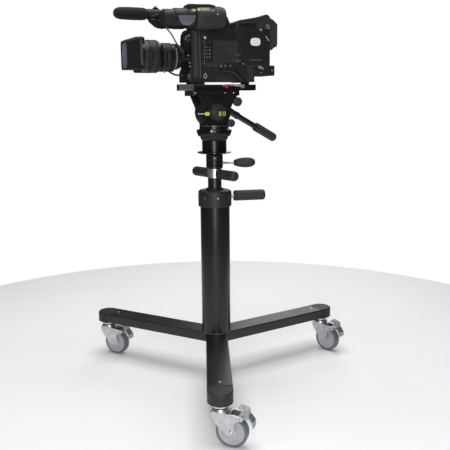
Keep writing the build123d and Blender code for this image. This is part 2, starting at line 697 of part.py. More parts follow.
def mic_holder():
    """Clamp ring, its screw, and the arm to the handle's front."""
    ring = pipe("y", (MIC_X, MIC_Z), 17, 10.52, -214, -166)
    ear = block((MIC_X - 5, MIC_X + 5), (-192, -174), (1336, 1343))
    screw = drum("z", (MIC_X, -183), 4, 1343, 1350)
    drop = side_profile(
        ahead([(212, 1308), (207, 1296), (186, 1279), (160, 1273), (160, 1308)]), MIC_X - 6, MIC_X + 10
    )
    arm = block((MIC_X + 6, MIC_X + 16), (-182, -98), (1274, 1288), 3, Axis.X)
    cross = block((MIC_X + 6, -14.02), (-112, -98), (1274, 1288))
    gland = drum("x", (-160, 1280), 4.5, MIC_X + 15, -51)
    return ring + ear + screw + drop + arm + cross + gland


# ---------------------------------------------------------------- viewfinder
VF_PIVOT_AHEAD = 120.0
VF_PIVOT_Z = 1292.0


def viewfinder_arm():
    """Slide rail across the front of the handle, with the pivot block at its end."""
    rail = drum("x", (-104, 1299), 5, -18, 50)
    carriage = block((44, 62), (-130, -101), (1282, 1308), 6, Axis.X)
    spigot = drum("x", (-VF_PIVOT_AHEAD, VF_PIVOT_Z), 5, 62, 78)
    return rail + carriage + spigot


def viewfinder_block(front, rear):
    """Part of the flat-topped block along the viewfinder's upper side."""
    outline = [(15, 128), (36, 128), (41, 124), (41, 52), (36, 30), (15, 30)]
    face = Plane.YZ.offset(-22) * make_face(Polyline(*outline, close=True))
    return extrude(face, 44) & block((-30, 30), (0, 50), (rear, front))


def viewfinder_body():
    profile = [(0, 208), (24, 208), (28, 204), (28, 172), (31, 168), (31, 132), (33, 128)]
    profile += [(33, 106), (30, 100), (0, 100)]
    housing = viewfinder_frame() * (turned(profile) + viewfinder_block(130, 100))
    housing += drum("x", (-VF_PIVOT_AHEAD, VF_PIVOT_Z), 11, 62.3, 70)
    return housing - drum("x", (-VF_PIVOT_AHEAD, VF_PIVOT_Z), 5 + RUN_FIT, 60, 78.5)


def eyecup():
    """Rear part of the viewfinder, hinged along the block's top edge, with the soft cup's mouth."""
    profile = [(0, 99.7), (31, 99.7), (37, 93), (38, 72), (37, 34), (34, 10), (30, -3)]
    hollow = turned([(0, 60), (20, 60), (22, 40), (26, -3), (26, -4), (0, -4)])
    return viewfinder_frame() * (turned([*profile, (0, -3)]) + viewfinder_block(99.7, 25) - hollow)


# ---------------------------------------------------------------- cords
MIC_CABLE_RADIUS = 2.5
LENS_CABLE_RADIUS = 3.0
MIC_CABLE_ROUTE = [
    (-50.9, -160, 1280),
    (-41, -160, 1280),
    (-28, -153, 1267),
    (-13, -145.5, 1252),
    (2, -142.5, 1238),
    (14, -141, 1227),
    (27, -139, 1217),
    (41, -136, 1202),
    (48, -132, 1193),
    (50, -123, 1184),
    (50, -123, 1176.1),
]
LENS_CABLE_ROUTE = [
    (-54.9, -156, 1136),
    (-43, -156, 1136),
    (-26, -154, 1129),
    (-8, -149, 1121),
    (8, -140, 1115.5),
    (15, -127, 1114),
    (15, -113.1, 1114),
]


def cord(route, radius):
    """A round cord along straight runs joined by tangent arcs as large as the runs allow."""
    points = [Vector(*p) for p in route]
    radii = []
    for before, corner, after in zip(points, points[1:], points[2:]):
        first, second = corner - before, after - corner
        turn = radians(first.get_angle(second))
        radii.append(0.45 * min(first.length, second.length) / tan(turn / 2))
    path = FilletPolyline(*points, radius=radii)
    start = Plane(origin=points[0], z_dir=points[1] - points[0])
    solid = sweep(start * Circle(radius), path=path)
    share = solid.volume / (pi * radius**2 * path.length)
    print("cord bend radii", [round(r, 1) for r in radii])
    print("cord length", round(path.length, 1), "volume share", round(share, 4))
    return solid


# ---------------------------------------------------------------- output
def save(name, shapes):
    group = shapes if isinstance(shapes, list) else [shapes]
    solids = [solid for shape in group for solid in shape.solids()]
    export_step(Compound(children=solids), f"parts/{name}.step")


def main():
    os.makedirs("parts", exist_ok=True)
    makers = [
        leg_frame, leg_end_caps, frame_screws, column_tube, column_cap, caster_stems, gas_strut_cylinder,
        side_handle, ram_tube, gas_strut_rod, t_handle_hub, t_handle_grips, mount_collar, clamp_lever,
        collar_knob, bowl, head_base, head_housing, tilt_axle, tilt_cradle, slide_lock_knob, pan_lock_knob,
        pan_bar, pan_bar_grip, adapter_plate, release_button, plate_lock_lever, camera_chassis, side_cover,
        audio_door, shoulder_pad, top_handle, sensor_block, rear_box, battery, filter_knob, lens_barrel,
        iris_ring, zoom_ring, focus_ring, lens_hood, lens_glass, lens_drive, zoom_rocker, microphone,
        mic_holder, viewfinder_arm, viewfinder_body, eyecup,
    ]  # fmt: skip
    for make in makers:
        save(make.__name__, make())
    for name in LEG_ANGLES:
        place = caster_place(name)
        save(f"caster_{name}_fork", [place * solid for solid in caster_fork()])
        save(f"caster_{name}_wheel", [place * solid for solid in caster_wheel()])
        save(f"caster_{name}_brake", place * caster_brake())
    save("mic_cable", cord(MIC_CABLE_ROUTE, MIC_CABLE_RADIUS))
    save("lens_cable", cord(LENS_CABLE_ROUTE, LENS_CABLE_RADIUS))


main()
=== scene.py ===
import json
from math import asin, cos, pi, radians, sin

import bmesh
import bpy
from mathutils import Matrix, Vector


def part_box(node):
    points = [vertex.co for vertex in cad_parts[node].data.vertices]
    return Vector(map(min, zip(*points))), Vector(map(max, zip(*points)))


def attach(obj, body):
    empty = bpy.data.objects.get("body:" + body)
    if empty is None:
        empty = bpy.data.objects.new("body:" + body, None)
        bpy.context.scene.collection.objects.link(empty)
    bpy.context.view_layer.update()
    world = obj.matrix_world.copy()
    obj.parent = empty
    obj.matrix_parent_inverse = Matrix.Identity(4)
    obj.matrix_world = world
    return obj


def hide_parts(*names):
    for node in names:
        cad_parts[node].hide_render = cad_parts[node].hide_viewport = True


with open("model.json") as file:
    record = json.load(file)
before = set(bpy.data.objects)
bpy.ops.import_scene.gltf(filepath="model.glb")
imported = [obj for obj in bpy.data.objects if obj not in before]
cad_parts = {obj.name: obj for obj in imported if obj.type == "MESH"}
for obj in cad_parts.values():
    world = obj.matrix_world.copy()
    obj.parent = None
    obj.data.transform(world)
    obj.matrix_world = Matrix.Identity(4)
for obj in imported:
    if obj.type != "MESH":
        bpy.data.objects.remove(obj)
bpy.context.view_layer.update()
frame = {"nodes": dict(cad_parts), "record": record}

# Camcorder on a rolling pedestal. Blender works in metres; sizes below are millimetres, turned into metres by
# MM. +Z is up, the lens looks along -Y and the camcorder's left side faces +X. "Ahead" is distance along -Y.

MM = 0.001
scene = bpy.context.scene

# --- dimensions shared with the CAD
LENS_Z = 1176.0
FLANGE_RADIUS = 52.0
HOOD_HALF, HOOD_FRONT, HOOD_BOTTOM = 49.0, 314.0, 1132.0
BODY_SIDE = 66.0  # outer face of the left side cover
SHELL_SIDE = 62.0
MIC_X, MIC_Z = -72.0, 1321.0
VF_X, VF_Z, VF_TILT = 96.0, 1297.0, 2.0
WHEEL_RADIUS, WHEEL_WIDTH = 50.0, 30.0
LEG_ANGLES = {"front": -19.0, "left": 221.0, "right": 101.0}
TRAIL_ANGLES = {"front": 52.0, "left": 44.0, "right": 25.0}
COLUMN_RADIUS, LEG_TOP, CAP_RADIUS = 53.0, 178.0, 60.0
SIDE_HANDLE_ANGLE, SIDE_HANDLE_Z = 80.0, 688.0
T_HANDLE_ANGLE, T_HANDLE_Z, T_HANDLE_REACH = 16.0, 770.5, 126.0
LEVER_ANGLE, LEVER_Z = 78.0, 808.0
PAN_BAR_ROOT, PAN_BAR_WAY = (-77.0, 50.0, 1012.0), (-0.43, 0.82, -0.38)
OUT, IN, UP, AHEAD = (1, 0, 0), (-1, 0, 0), (0, 0, 1), (0, -1, 0)  # left side, right side, top and lens
CAMERA_SIDE = -20.0  # direction from the column to the camera, degrees from +X


# --- camera, cords, stage and light
def add_object(name, data):
    made = bpy.data.objects.new(name, data)
    scene.collection.objects.link(made)
    return made


def add_camera():
    """Perspective camera low on the left side, a little ahead of the camcorder."""
    distance, height = 2.3198, 1.0366
    pitch, yaw, roll = radians(11.107), radians(0.883), radians(-0.504)
    out = Vector((cos(radians(CAMERA_SIDE)), sin(radians(CAMERA_SIDE)), 0))
    level_right, up = Vector((-out.y, out.x, 0)), Vector((0, 0, 1))
    forward = level_right * sin(yaw) - out * cos(yaw)
    right = level_right * cos(yaw) + out * sin(yaw)
    look = forward * cos(pitch) - up * sin(pitch)
    top = forward * sin(pitch) + up * cos(pitch)
    x_axis = right * cos(roll) + top * sin(roll)
    y_axis = top * cos(roll) - right * sin(roll)
    data = bpy.data.cameras.new("camera")
    data.sensor_width = 36.0
    data.lens = 51.7
    data.clip_end = 50.0
    camera = add_object("camera", data)
    camera.matrix_world = Matrix((x_axis, y_axis, -look)).transposed().to_4x4()
    camera.matrix_world.translation = out * distance + up * height
    scene.camera = camera


def add_cord(name, route, radius, skin):
    """A limp cord held at both ends, on one smooth curve."""
    curve = bpy.data.curves.new(name, "CURVE")
    curve.dimensions = "3D"
    curve.bevel_depth = radius * MM
    curve.bevel_resolution = 5
    curve.resolution_u = 16
    spline = curve.splines.new("NURBS")
    spline.points.add(len(route) - 1)
    for point, place in zip(spline.points, route):
        point.co = (*(value * MM for value in place), 1.0)
    spline.order_u = 3
    spline.use_endpoint_u = True
    cord = add_object(name + "_run", curve)
    curve.materials.append(skin)
    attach(cord, "camcorder")
    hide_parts(name)


MIC_CABLE_ROUTE = [
    (-50.9, -160, 1280), (-41, -160, 1280), (-28, -153, 1267), (-13, -145.5, 1252), (2, -142.5, 1238),
    (14, -141, 1227), (27, -139, 1217), (41, -136, 1202), (48, -132, 1193), (50, -123, 1184),
    (50, -123, 1176.1),
]
LENS_CABLE_ROUTE = [
    (-54.9, -156, 1136), (-43, -156, 1136), (-26, -154, 1129), (-8, -149, 1121), (8, -140, 1115.5),
    (15, -127, 1114), (15, -113.1, 1114),
]


def add_light(name, place, aim, size, power):
    data = bpy.data.lights.new(name, "AREA")
    data.shape = "RECTANGLE"
    data.size, data.size_y = size
    data.energy = power
    light = add_object(name, data)
    light.location = place
    light.rotation_euler = (Vector(aim) - Vector(place)).to_track_quat("-Z", "Y").to_euler()


def add_stage():
    """Pale floor, a white backdrop that lights the object only dimly, and soft lamps."""
    sides, reach = 96, 1.75
    rim = [(reach * cos(2 * pi * k / sides), reach * sin(2 * pi * k / sides), 0) for k in range(sides)]
    mesh = bpy.data.meshes.new("floor")
    mesh.from_pydata(rim, [], [list(range(sides))])
    floor = add_object("floor", mesh)
    mesh.materials.append(surface("floor_paper", (0.93, 0.93, 0.935), 0.9, mottle=3, mottle_depth=0.01))
    world = bpy.data.worlds.new("studio")
    scene.world = world
    world.use_nodes = True
    nodes, links = world.node_tree.nodes, world.node_tree.links
    dim = nodes["Background"]
    dim.inputs["Color"].default_value = (0.97, 0.97, 1.0, 1.0)
    dim.inputs["Strength"].default_value = 0.1
    backdrop = nodes.new("ShaderNodeBackground")
    backdrop.inputs["Color"].default_value = (1.0, 1.0, 1.0, 1.0)
    rays = nodes.new("ShaderNodeLightPath")
    either = nodes.new("ShaderNodeMixShader")
    links.new(rays.outputs["Is Camera Ray"], either.inputs["Fac"])
    links.new(dim.outputs["Background"], either.inputs[1])
    links.new(backdrop.outputs["Background"], either.inputs[2])
    links.new(either.outputs["Shader"], nodes["World Output"].inputs["Surface"])
    add_light("lamp_by_camera", (2.27, -0.83, 1.05), (0, 0, 0.95), (0.16, 1.3), 31)
    add_light("left_panel", (0.6, -2.6, 1.9), (0, 0, 0.8), (0.5, 1.4), 4)
    add_light("overhead", (0.0, 0.0, 3.4), (0, 0, 0), (2.6, 2.6), 95)
    add_light("back_fill", (-2.4, 1.6, 2.0), (0, 0, 0.8), (1.2, 1.6), 20)
    scene.view_settings.view_transform = "Standard"


# --- materials
def surface(name, colour, rough, metallic=0.0, grain=900.0, bump=0.08, mottle=14.0, mottle_depth=0.22,
            rough_spread=0.08, stretch=(1, 1, 1), cells=False, **sockets):
    """A principled surface with mottled colour and roughness and a fine grain in its bump."""
    made = bpy.data.materials.new(name)
    made.use_nodes = True
    nodes, links = made.node_tree.nodes, made.node_tree.links
    shader = nodes["Principled BSDF"]
    shader.inputs["Metallic"].default_value = metallic
    for socket, value in sockets.items():
        shader.inputs[socket.replace("_", " ")].default_value = value

    def add(kind, **values):
        node = nodes.new("ShaderNode" + kind)
        for socket, value in values.items():
            node.inputs[socket.replace("_", " ")].default_value = value
        return node

    place = add("TexCoord")
    scale = add("Mapping", Scale=stretch)
    links.new(place.outputs["Object"], scale.inputs["Vector"])
    cloud = add("TexNoise", Scale=mottle, Detail=5.0)
    links.new(scale.outputs["Vector"], cloud.inputs["Vector"])
    ramp = add("ValToRGB")
    low, high = 1 - mottle_depth, 1 + mottle_depth
    dark, light = ramp.color_ramp.elements
    dark.position, light.position = 0.3, 0.7
    dark.color = (*(min(c * low, 1) for c in colour), 1)
    light.color = (*(min(c * high, 1) for c in colour), 1)
    links.new(cloud.outputs["Fac"], ramp.inputs["Fac"])
    links.new(ramp.outputs["Color"], shader.inputs["Base Color"])
    spread = add("MapRange", To_Min=max(rough - rough_spread, 0.02), To_Max=min(rough + rough_spread, 1.0))
    links.new(cloud.outputs["Fac"], spread.inputs["Value"])
    links.new(spread.outputs["Result"], shader.inputs["Roughness"])
    if cells:
        fine, height = add("TexVoronoi", Scale=grain), "Distance"
    else:
        fine, height = add("TexNoise", Scale=grain, Detail=3.0), "Fac"
    links.new(scale.outputs["Vector"], fine.inputs["Vector"])
    relief = add("Bump", Strength=bump, Distance=0.001)
    links.new(fine.outputs[height], relief.inputs["Height"])
    links.new(relief.outputs["Normal"], shader.inputs["Normal"])
    return made


def make_materials():
    """Every finish, by the name of its slot in the record, and the extra ones that only detail pieces use."""
    made = {}

    def add(name, *values, **sockets):
        made[name] = surface(name, *values, **sockets)

    add("powder_black", (0.0098, 0.0095, 0.0092), 0.36, grain=1400, bump=0.12)
    add("column_black", (0.004, 0.0038, 0.0037), 0.3, grain=1400, bump=0.06)
    add("molded_black", (0.0115, 0.012, 0.0142), 0.55, grain=1600, bump=0.16)
    add("camera_plastic", (0.0098, 0.0101, 0.0096), 0.52, grain=1900, bump=0.2, Specular_IOR_Level=0.3)
    add("rear_plastic", (0.0145, 0.0148, 0.0146), 0.52, grain=1900, bump=0.2, mottle_depth=0.4)
    add("battery_plastic", (0.024, 0.0242, 0.0232), 0.52, grain=1900, bump=0.2, mottle_depth=0.3)
    add("door_plastic", (0.019, 0.0195, 0.021), 0.5, grain=1900, bump=0.18, Specular_IOR_Level=0.4)
    add("stripe_grey", (0.027, 0.03, 0.033), 0.5, grain=1500, bump=0.12, mottle_depth=0.15)
    # Slate blue, lighter than the body plastic: a painted bluish sheen on the front control column.
    add("slate_plastic_painted_sheen", (0.019, 0.0225, 0.029), 0.42, grain=1700, bump=0.15, mottle=60, mottle_depth=0.35)
    add("olive_black", (0.0062, 0.0062, 0.0046), 0.5, grain=1900, bump=0.15, Specular_IOR_Level=0.25)
    add("hood_black", (0.0022, 0.0026, 0.0032), 0.56, grain=1800, bump=0.12, Specular_IOR_Level=0.2)
    add("bowl_black", (0.0026, 0.0034, 0.0046), 0.3, bump=0.004, mottle_depth=0.1, Specular_IOR_Level=0.35)
    add("gloss_black", (0.006, 0.0075, 0.0095), 0.34, bump=0.004, Coat_Weight=0.12, Coat_Roughness=0.08)
    add("anodised_black", (0.005, 0.005, 0.005), 0.34, grain=2200, bump=0.05, Specular_IOR_Level=0.35)
    add("grip_rubber", (0.017, 0.0168, 0.0185), 0.6, grain=1500, bump=0.22)
    add("ring_rubber", (0.0034, 0.0036, 0.0034), 0.6, grain=1700, bump=0.15, Specular_IOR_Level=0.35)
    add("foam", (0.0125, 0.0125, 0.015), 0.97, grain=620, bump=0.9, mottle=160, mottle_depth=0.4, cells=True,
        Sheen_Weight=0.08, Sheen_Roughness=0.6, Specular_IOR_Level=0.2)
    add("zinc", (0.56, 0.565, 0.58), 0.34, 1.0, grain=500, bump=0.05, mottle=60, mottle_depth=0.18,
        rough_spread=0.12)
    add("galvanised", (0.36, 0.38, 0.37), 0.45, 0.9, grain=420, bump=0.08, mottle=70, mottle_depth=0.25,
        cells=True)
    add("chrome", (0.72, 0.7, 0.68), 0.34, 1.0, grain=300, bump=0.002, mottle_depth=0.06)
    add("steel", (0.48, 0.47, 0.46), 0.32, 1.0, grain=900, bump=0.05, stretch=(1, 1, 6))
    add("wheel_grey", (0.4, 0.41, 0.43), 0.45, grain=1300, bump=0.1, mottle_depth=0.08)
    add("tyre", (0.13, 0.14, 0.17), 0.6, grain=1100, bump=0.15, mottle=40, mottle_depth=0.2)
    add("red_button", (0.5, 0.015, 0.02), 0.25, bump=0.03, mottle_depth=0.1)
    add("circuit_board", (0.012, 0.09, 0.04), 0.4, grain=700, bump=0.1)
    add("pan_rubber", (0.026, 0.0285, 0.0265), 0.75, grain=800, bump=0.5, cells=True, mottle=90,
        mottle_depth=0.35)
    add("pale_metal", (0.66, 0.65, 0.63), 0.3, 0.8, bump=0.03, mottle_depth=0.08)
    add("white_paint", (0.78, 0.78, 0.8), 0.5, bump=0.05, mottle=60, mottle_depth=0.06)
    add("sticker", (0.8, 0.79, 0.88), 0.4, bump=0.04, mottle=90, mottle_depth=0.07)
    add("yellow_paint", (0.72, 0.62, 0.05), 0.5, bump=0.05, mottle=80, mottle_depth=0.15)
    add("grey_wedge", (0.03, 0.03, 0.031), 0.55, grain=1000, bump=0.2, mottle_depth=0.2)
    add("green_line", (0.022, 0.075, 0.03), 0.35, bump=0.05, mottle_depth=0.15)
    # Light blue-grey: the colour of panels and labels, and also of the painted glints on the microphone
    # mount.
    add("blue_panel_and_glint", (0.11, 0.12, 0.15), 0.3, bump=0.05, mottle_depth=0.12)
    # Hood lining: light blue-grey, a painted sheen of grazing light on the hood's dark inner wall.
    add("liner_painted_sheen", (0.12, 0.14, 0.175), 0.55, grain=1200, bump=0.15, mottle=30, mottle_depth=0.15)
    add("amber_label", (0.13, 0.105, 0.05), 0.42, bump=0.08, mottle=120, mottle_depth=0.3)
    add("yellow_label", (0.3, 0.24, 0.06), 0.42, bump=0.08, mottle=120, mottle_depth=0.3)
    # Lighter grey for seams, scales and labels; on the column's foot ring it is also a painted highlight.
    add("seam_grey_and_highlight", (0.07, 0.073, 0.082), 0.4, bump=0.05, mottle_depth=0.15)
    made["lens_glass"] = glass("lens_glass")
    return made


def glass(name):
    """Coated front element: near black inside, with a blue-violet sheen."""
    made = surface(name, (0.012, 0.014, 0.035), 0.04, rough_spread=0.01, bump=0.0, mottle=5, mottle_depth=0.3,
                   Coat_Weight=1.0, Coat_Roughness=0.03, IOR=1.7)
    shader = made.node_tree.nodes["Principled BSDF"]
    shader.inputs["Coat Tint"].default_value = (0.75, 0.8, 1.0, 1.0)
    return made


# --- mesh helpers
def at(x, ahead, z):
    """A point from millimetres across, ahead and up."""
    return Vector((x, -ahead, z)) * MM


def piece(name, shape, finish, body="camcorder", bevel=0.0, replaces=(), sharp=35.0, segments=2):
    """Turns finished mesh code into a piece that rides on a body; finish is a material's name."""
    bmesh.ops.recalc_face_normals(shape, faces=shape.faces)
    mesh = bpy.data.meshes.new(name)
    shape.to_mesh(mesh)
    shape.free()
    made = add_object(name, mesh)
    mesh.materials.append(materials[finish])
    mesh.polygons.foreach_set("use_smooth", [True] * len(mesh.polygons))
    mesh.set_sharp_from_angle(angle=radians(sharp))
    if bevel:
        round_edges = made.modifiers.new("round_edges", "BEVEL")
        round_edges.width = bevel * MM
        round_edges.segments = segments
        round_edges.limit_method = "ANGLE"
        round_edges.angle_limit = radians(sharp)
        round_edges.harden_normals = True
    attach(made, body)
    if replaces:
        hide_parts(*replaces)
    return made


def turn(z_way, origin, x_way=None):
    """A frame in metres whose local Z points along z_way, from an origin in millimetres (x, y, z)."""
    z_axis = Vector(z_way).normalized()
    guess = Vector(x_way) if x_way else (Vector((0, 0, 1)) if abs(z_axis.z) < 0.9 else Vector((1, 0, 0)))
    x_axis = (guess - z_axis * guess.dot(z_axis)).normalized()
    y_axis = z_axis.cross(x_axis)
    frame_matrix = Matrix((x_axis, y_axis, z_axis)).transposed().to_4x4()
    frame_matrix.translation = Vector(origin) * MM
    return frame_matrix


def radial(angle, z):
    """A frame whose local Z leaves the column's axis at this angle and height."""
    return turn((cos(radians(angle)), sin(radians(angle)), 0), (0, 0, z))


def bridge(shape, first, second):
    """Joins two loops of as many vertices with a ring of faces."""
    for k in range(len(first)):
        n = (k + 1) % len(first)
        shape.faces.new((first[k], first[n], second[n], second[k]))


def fill(shape, sheet):
    """Covers a grid of vertices with faces."""
    for row, below in zip(sheet, sheet[1:]):
        for k in range(len(row) - 1):
            shape.faces.new((row[k], row[k + 1], below[k + 1], below[k]))


LENS_FRAME = turn(AHEAD, (0, 0, LENS_Z), (1, 0, 0))
MIC_FRAME = turn(AHEAD, (MIC_X, 0, MIC_Z), (1, 0, 0))
VF_FRAME = turn((0, -cos(radians(VF_TILT)), -sin(radians(VF_TILT))), (VF_X, 0, VF_Z), (1, 0, 0))


def lathe(profile, place, segments=72, ribs=0, depth=0.0, span=(0, 0), shape=None):
    """Turned shape from (radius, height) points, closed on itself if both ends stay off the axis.

    Ribs cut flutes of a depth into the heights within span.
    """
    shape = shape or bmesh.new()
    count = max(segments, ribs * 4)
    rings = []
    for radius, height in profile:
        if radius <= 0:
            rings.append([shape.verts.new(place @ (Vector((0, 0, height)) * MM))])
            continue
        cut = depth if ribs and span[0] <= height <= span[1] else 0.0
        ring = []
        for k in range(count):
            angle = 2 * pi * k / count
            low = cut if ribs and k % 4 in (0, 3) else 0.0
            point = Vector(((radius - low) * cos(angle), (radius - low) * sin(angle), height))
            ring.append(shape.verts.new(place @ (point * MM)))
        rings.append(ring)
    pairs = list(zip(rings, rings[1:]))
    if len(rings[0]) > 1 and len(rings[-1]) > 1:
        pairs.append((rings[-1], rings[0]))
    for first, second in pairs:
        if len(first) > 1 and len(second) > 1:
            bridge(shape, first, second)
            continue
        for k in range(count):
            n = (k + 1) % count
            if len(first) == 1:
                shape.faces.new((first[0], second[k], second[n]))
            else:
                shape.faces.new((first[k], first[n], second[0]))
    return shape


def corner(radius, height, size, start, end, steps=4):
    """Points round a quarter circle of a turned profile, centred on (radius, height)."""
    angles = [radians(start + (end - start) * k / steps) for k in range(steps + 1)]
    return [(radius + size * cos(a), height + size * sin(a)) for a in angles]


def slab(low, high, place=None, shape=None):
    """A box between two corners in millimetres; a piece made from it gets rounded edges only when it is given
    a bevel.
    """
    shape = shape or bmesh.new()
    place = place or Matrix()
    size = [b - a for a, b in zip(low, high)]
    middle = [(a + b) / 2 for a, b in zip(low, high)]
    scale = Matrix.Diagonal((*(s * MM for s in size), 1))
    bmesh.ops.create_cube(shape, size=1, matrix=place @ Matrix.Translation(Vector(middle) * MM) @ scale)
    return shape


def blocks(name, corners, finish, body="camcorder", **style):
    """A piece made of boxes, each given by two corners."""
    shape = bmesh.new()
    for low, high in corners:
        slab(low, high, shape=shape)
    piece(name, shape, finish, body, **style)


def side_blocks(name, rows, finish, body="camcorder", face=0.0, **style):
    """A piece made of boxes given as rows of ahead, z and x ranges, x counted from a side face."""
    corners = [((face + x0, -u1, z0), (face + x1, -u0, z1)) for u0, u1, z0, z1, x0, x1 in rows]
    blocks(name, corners, finish, body, **style)


def cap_and_join(shape, near, far):
    """Closes a prism between two outlines of as many vertices."""
    shape.faces.new(near)
    shape.faces.new(list(reversed(far)))
    for k in range(len(near)):
        n = (k + 1) % len(near)
        shape.faces.new((near[n], near[k], far[k], far[n]))


def prism(outline, lift, shape=None):
    """Extrudes an outline of millimetre (x, y, z) points by a millimetre vector."""
    shape = shape or bmesh.new()
    near = [shape.verts.new(Vector(p) * MM) for p in outline]
    far = [shape.verts.new((Vector(p) + Vector(lift)) * MM) for p in outline]
    cap_and_join(shape, near, far)
    return shape


def side_prism(outline, x, depth, shape=None):
    """Extrudes an outline of (ahead, z) points along X from x by depth."""
    return prism([(x, -u, z) for u, z in outline], (depth, 0, 0), shape)


def turned(name, profile, place, finish, body="camcorder", segments=72, ribs=(0, 0.0, (0, 0)), **style):
    """A piece that is one turned shape; ribs are their count, depth and span."""
    return piece(name, lathe(profile, place, segments, *ribs), finish, body, **style)


def bands(name, profiles, place, finish, body="camcorder", segments=96):
    """Raised rings turned round one axis."""
    shape = bmesh.new()
    for profile in profiles:
        lathe(profile, place, segments, shape=shape)
    piece(name, shape, finish, body, sharp=30)


def studs(places, way, radius, height, slot_cut=False):
    """Low turned heads at several millimetre places, all facing one way."""
    shape = bmesh.new()
    dome = [(0, height), (radius * 0.45, height * 0.97), (radius * 0.8, height * 0.8), (radius, height * 0.4)]
    dome += [(radius, -0.4), (0, -0.4)]
    if slot_cut:
        dome = [(0, height * 0.45), (radius * 0.4, height * 0.45), (radius * 0.42, height), *dome[2:]]
    for place in places:
        lathe(dome, turn(way, place), segments=20, shape=shape)
    return shape


def ticks(place, radius, height, length, angles, width=0.5, proud=0.15):
    """Small raised marks round a turned surface, each lying along its axis."""
    shape = bmesh.new()
    for angle, share in angles:
        spot = place @ Matrix.Rotation(radians(angle), 4, "Z")
        slab((radius - 0.3, -width / 2, height), (radius + proud, width / 2, height + length * share), spot,
            shape)
    return shape


# --- carried-over CAD nodes
# Nodes whose finish differs from the slot that the record gives them.
OWN_FINISH = {
    "column_tube": "column_black", "ram_tube": "gloss_black", "bowl": "bowl_black",
    "plate_lock_lever": "pale_metal", "rear_box": "rear_plastic", "battery": "battery_plastic",
    "lens_hood": "hood_black", "caster_front_brake": "galvanised", "caster_left_brake": "galvanised",
    "caster_right_brake": "galvanised",
}


def finish_cad_nodes():
    """Gives each CAD node that stays in view its finish."""
    for entry in frame["record"]["subparts"]:
        node = entry["node"]
        mesh = frame["nodes"][node].data
        mesh.materials.clear()
        mesh.materials.append(materials[OWN_FINISH.get(node, entry["material_slot"])])


# --- rolling base and column
def build_wheel(name):
    """Grey hub with concentric grooves, inside a dark bonded tyre."""
    low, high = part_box(f"caster_{name}_wheel")
    centre = [(a + b) / 2 / MM for a, b in zip(low, high)]
    trail = radians(TRAIL_ANGLES[name])
    place = turn((sin(trail), -cos(trail), 0), centre)
    half, rim = WHEEL_WIDTH / 2, WHEEL_RADIUS - 9
    sunk = [(4.1, 0), (11, 0), (12, 0.8), (13.5, 4), (17, 5), (17.6, 5.8), (19.4, 5.8), (20, 5), (24, 5),
        (24.6, 5.8)]
    sunk += [(26.4, 5.8), (27, 5), (31, 5.4), (34, 3.4), (36.5, 2), (rim - 1, 1.8), (rim, 2.4)]
    face = [(r, half - depth) for r, depth in sunk]
    hub = face + [(r, -z) for r, z in reversed(face)]
    body = f"wheel_{name}"
    node = f"caster_{name}_wheel"
    turned(f"wheel_hub_{name}", hub, place, "wheel_grey", body, replaces=(node,), sharp=28)
    tread = [(rim, half - 2.2), (44, half - 1), *corner(45.5, half - 5, 4.4, 80, 10)]
    tread += [(r, -z) for r, z in reversed(tread)]
    turned(f"wheel_tyre_{name}", tread, place, "tyre", body, sharp=40)


def build_base():
    for name in LEG_ANGLES:
        build_wheel(name)
    # A thin bead round the column's foot, lighter grey than the tube: partly a painted highlight along the
    # foot's edge.
    foot = [(COLUMN_RADIUS + 0.2, LEG_TOP + 4), *corner(COLUMN_RADIUS + 1.6, LEG_TOP + 3.2, 1.5, 90, 0)]
    foot += [(COLUMN_RADIUS + 3.1, LEG_TOP + 1.5), (COLUMN_RADIUS + 0.2, LEG_TOP + 1.5)]
    turned("column_foot_highlight_ring", foot, Matrix(), "seam_grey_and_highlight", "base")
    seals = bmesh.new()
    for angle in LEG_ANGLES.values():
        joint = Matrix.Rotation(radians(angle), 4, "Z")
        slab((481.6, -39.7, 141), (482.6, 39.7, 178.1), joint, seals)
    piece("leg_joint_seals", seals, "molded_black", "base", bevel=0.3)
    collar = [(24.7, 716), (28.6, 716.2), (29.8, 717.4), (28.8, 718.8), (24.7, 719)]
    turned("ram_wiper_ring", collar, Matrix(), "ring_rubber", "base")


def grip_profile(start, end, radius, nose):
    """A plain moulded grip with rounded ends and a shallow moulding line at its root."""
    profile = [(0, start), *corner(radius - nose * 0.4, start + nose * 0.4, nose * 0.4, -90, 0)]
    profile += [(radius, start + 7), (radius - 0.5, start + 7.6), (radius - 0.5, start + 8.6),
        (radius, start + 9.2)]
    return profile + [*corner(radius - nose, end - nose, nose, 0, 90, 6), (0, end)]


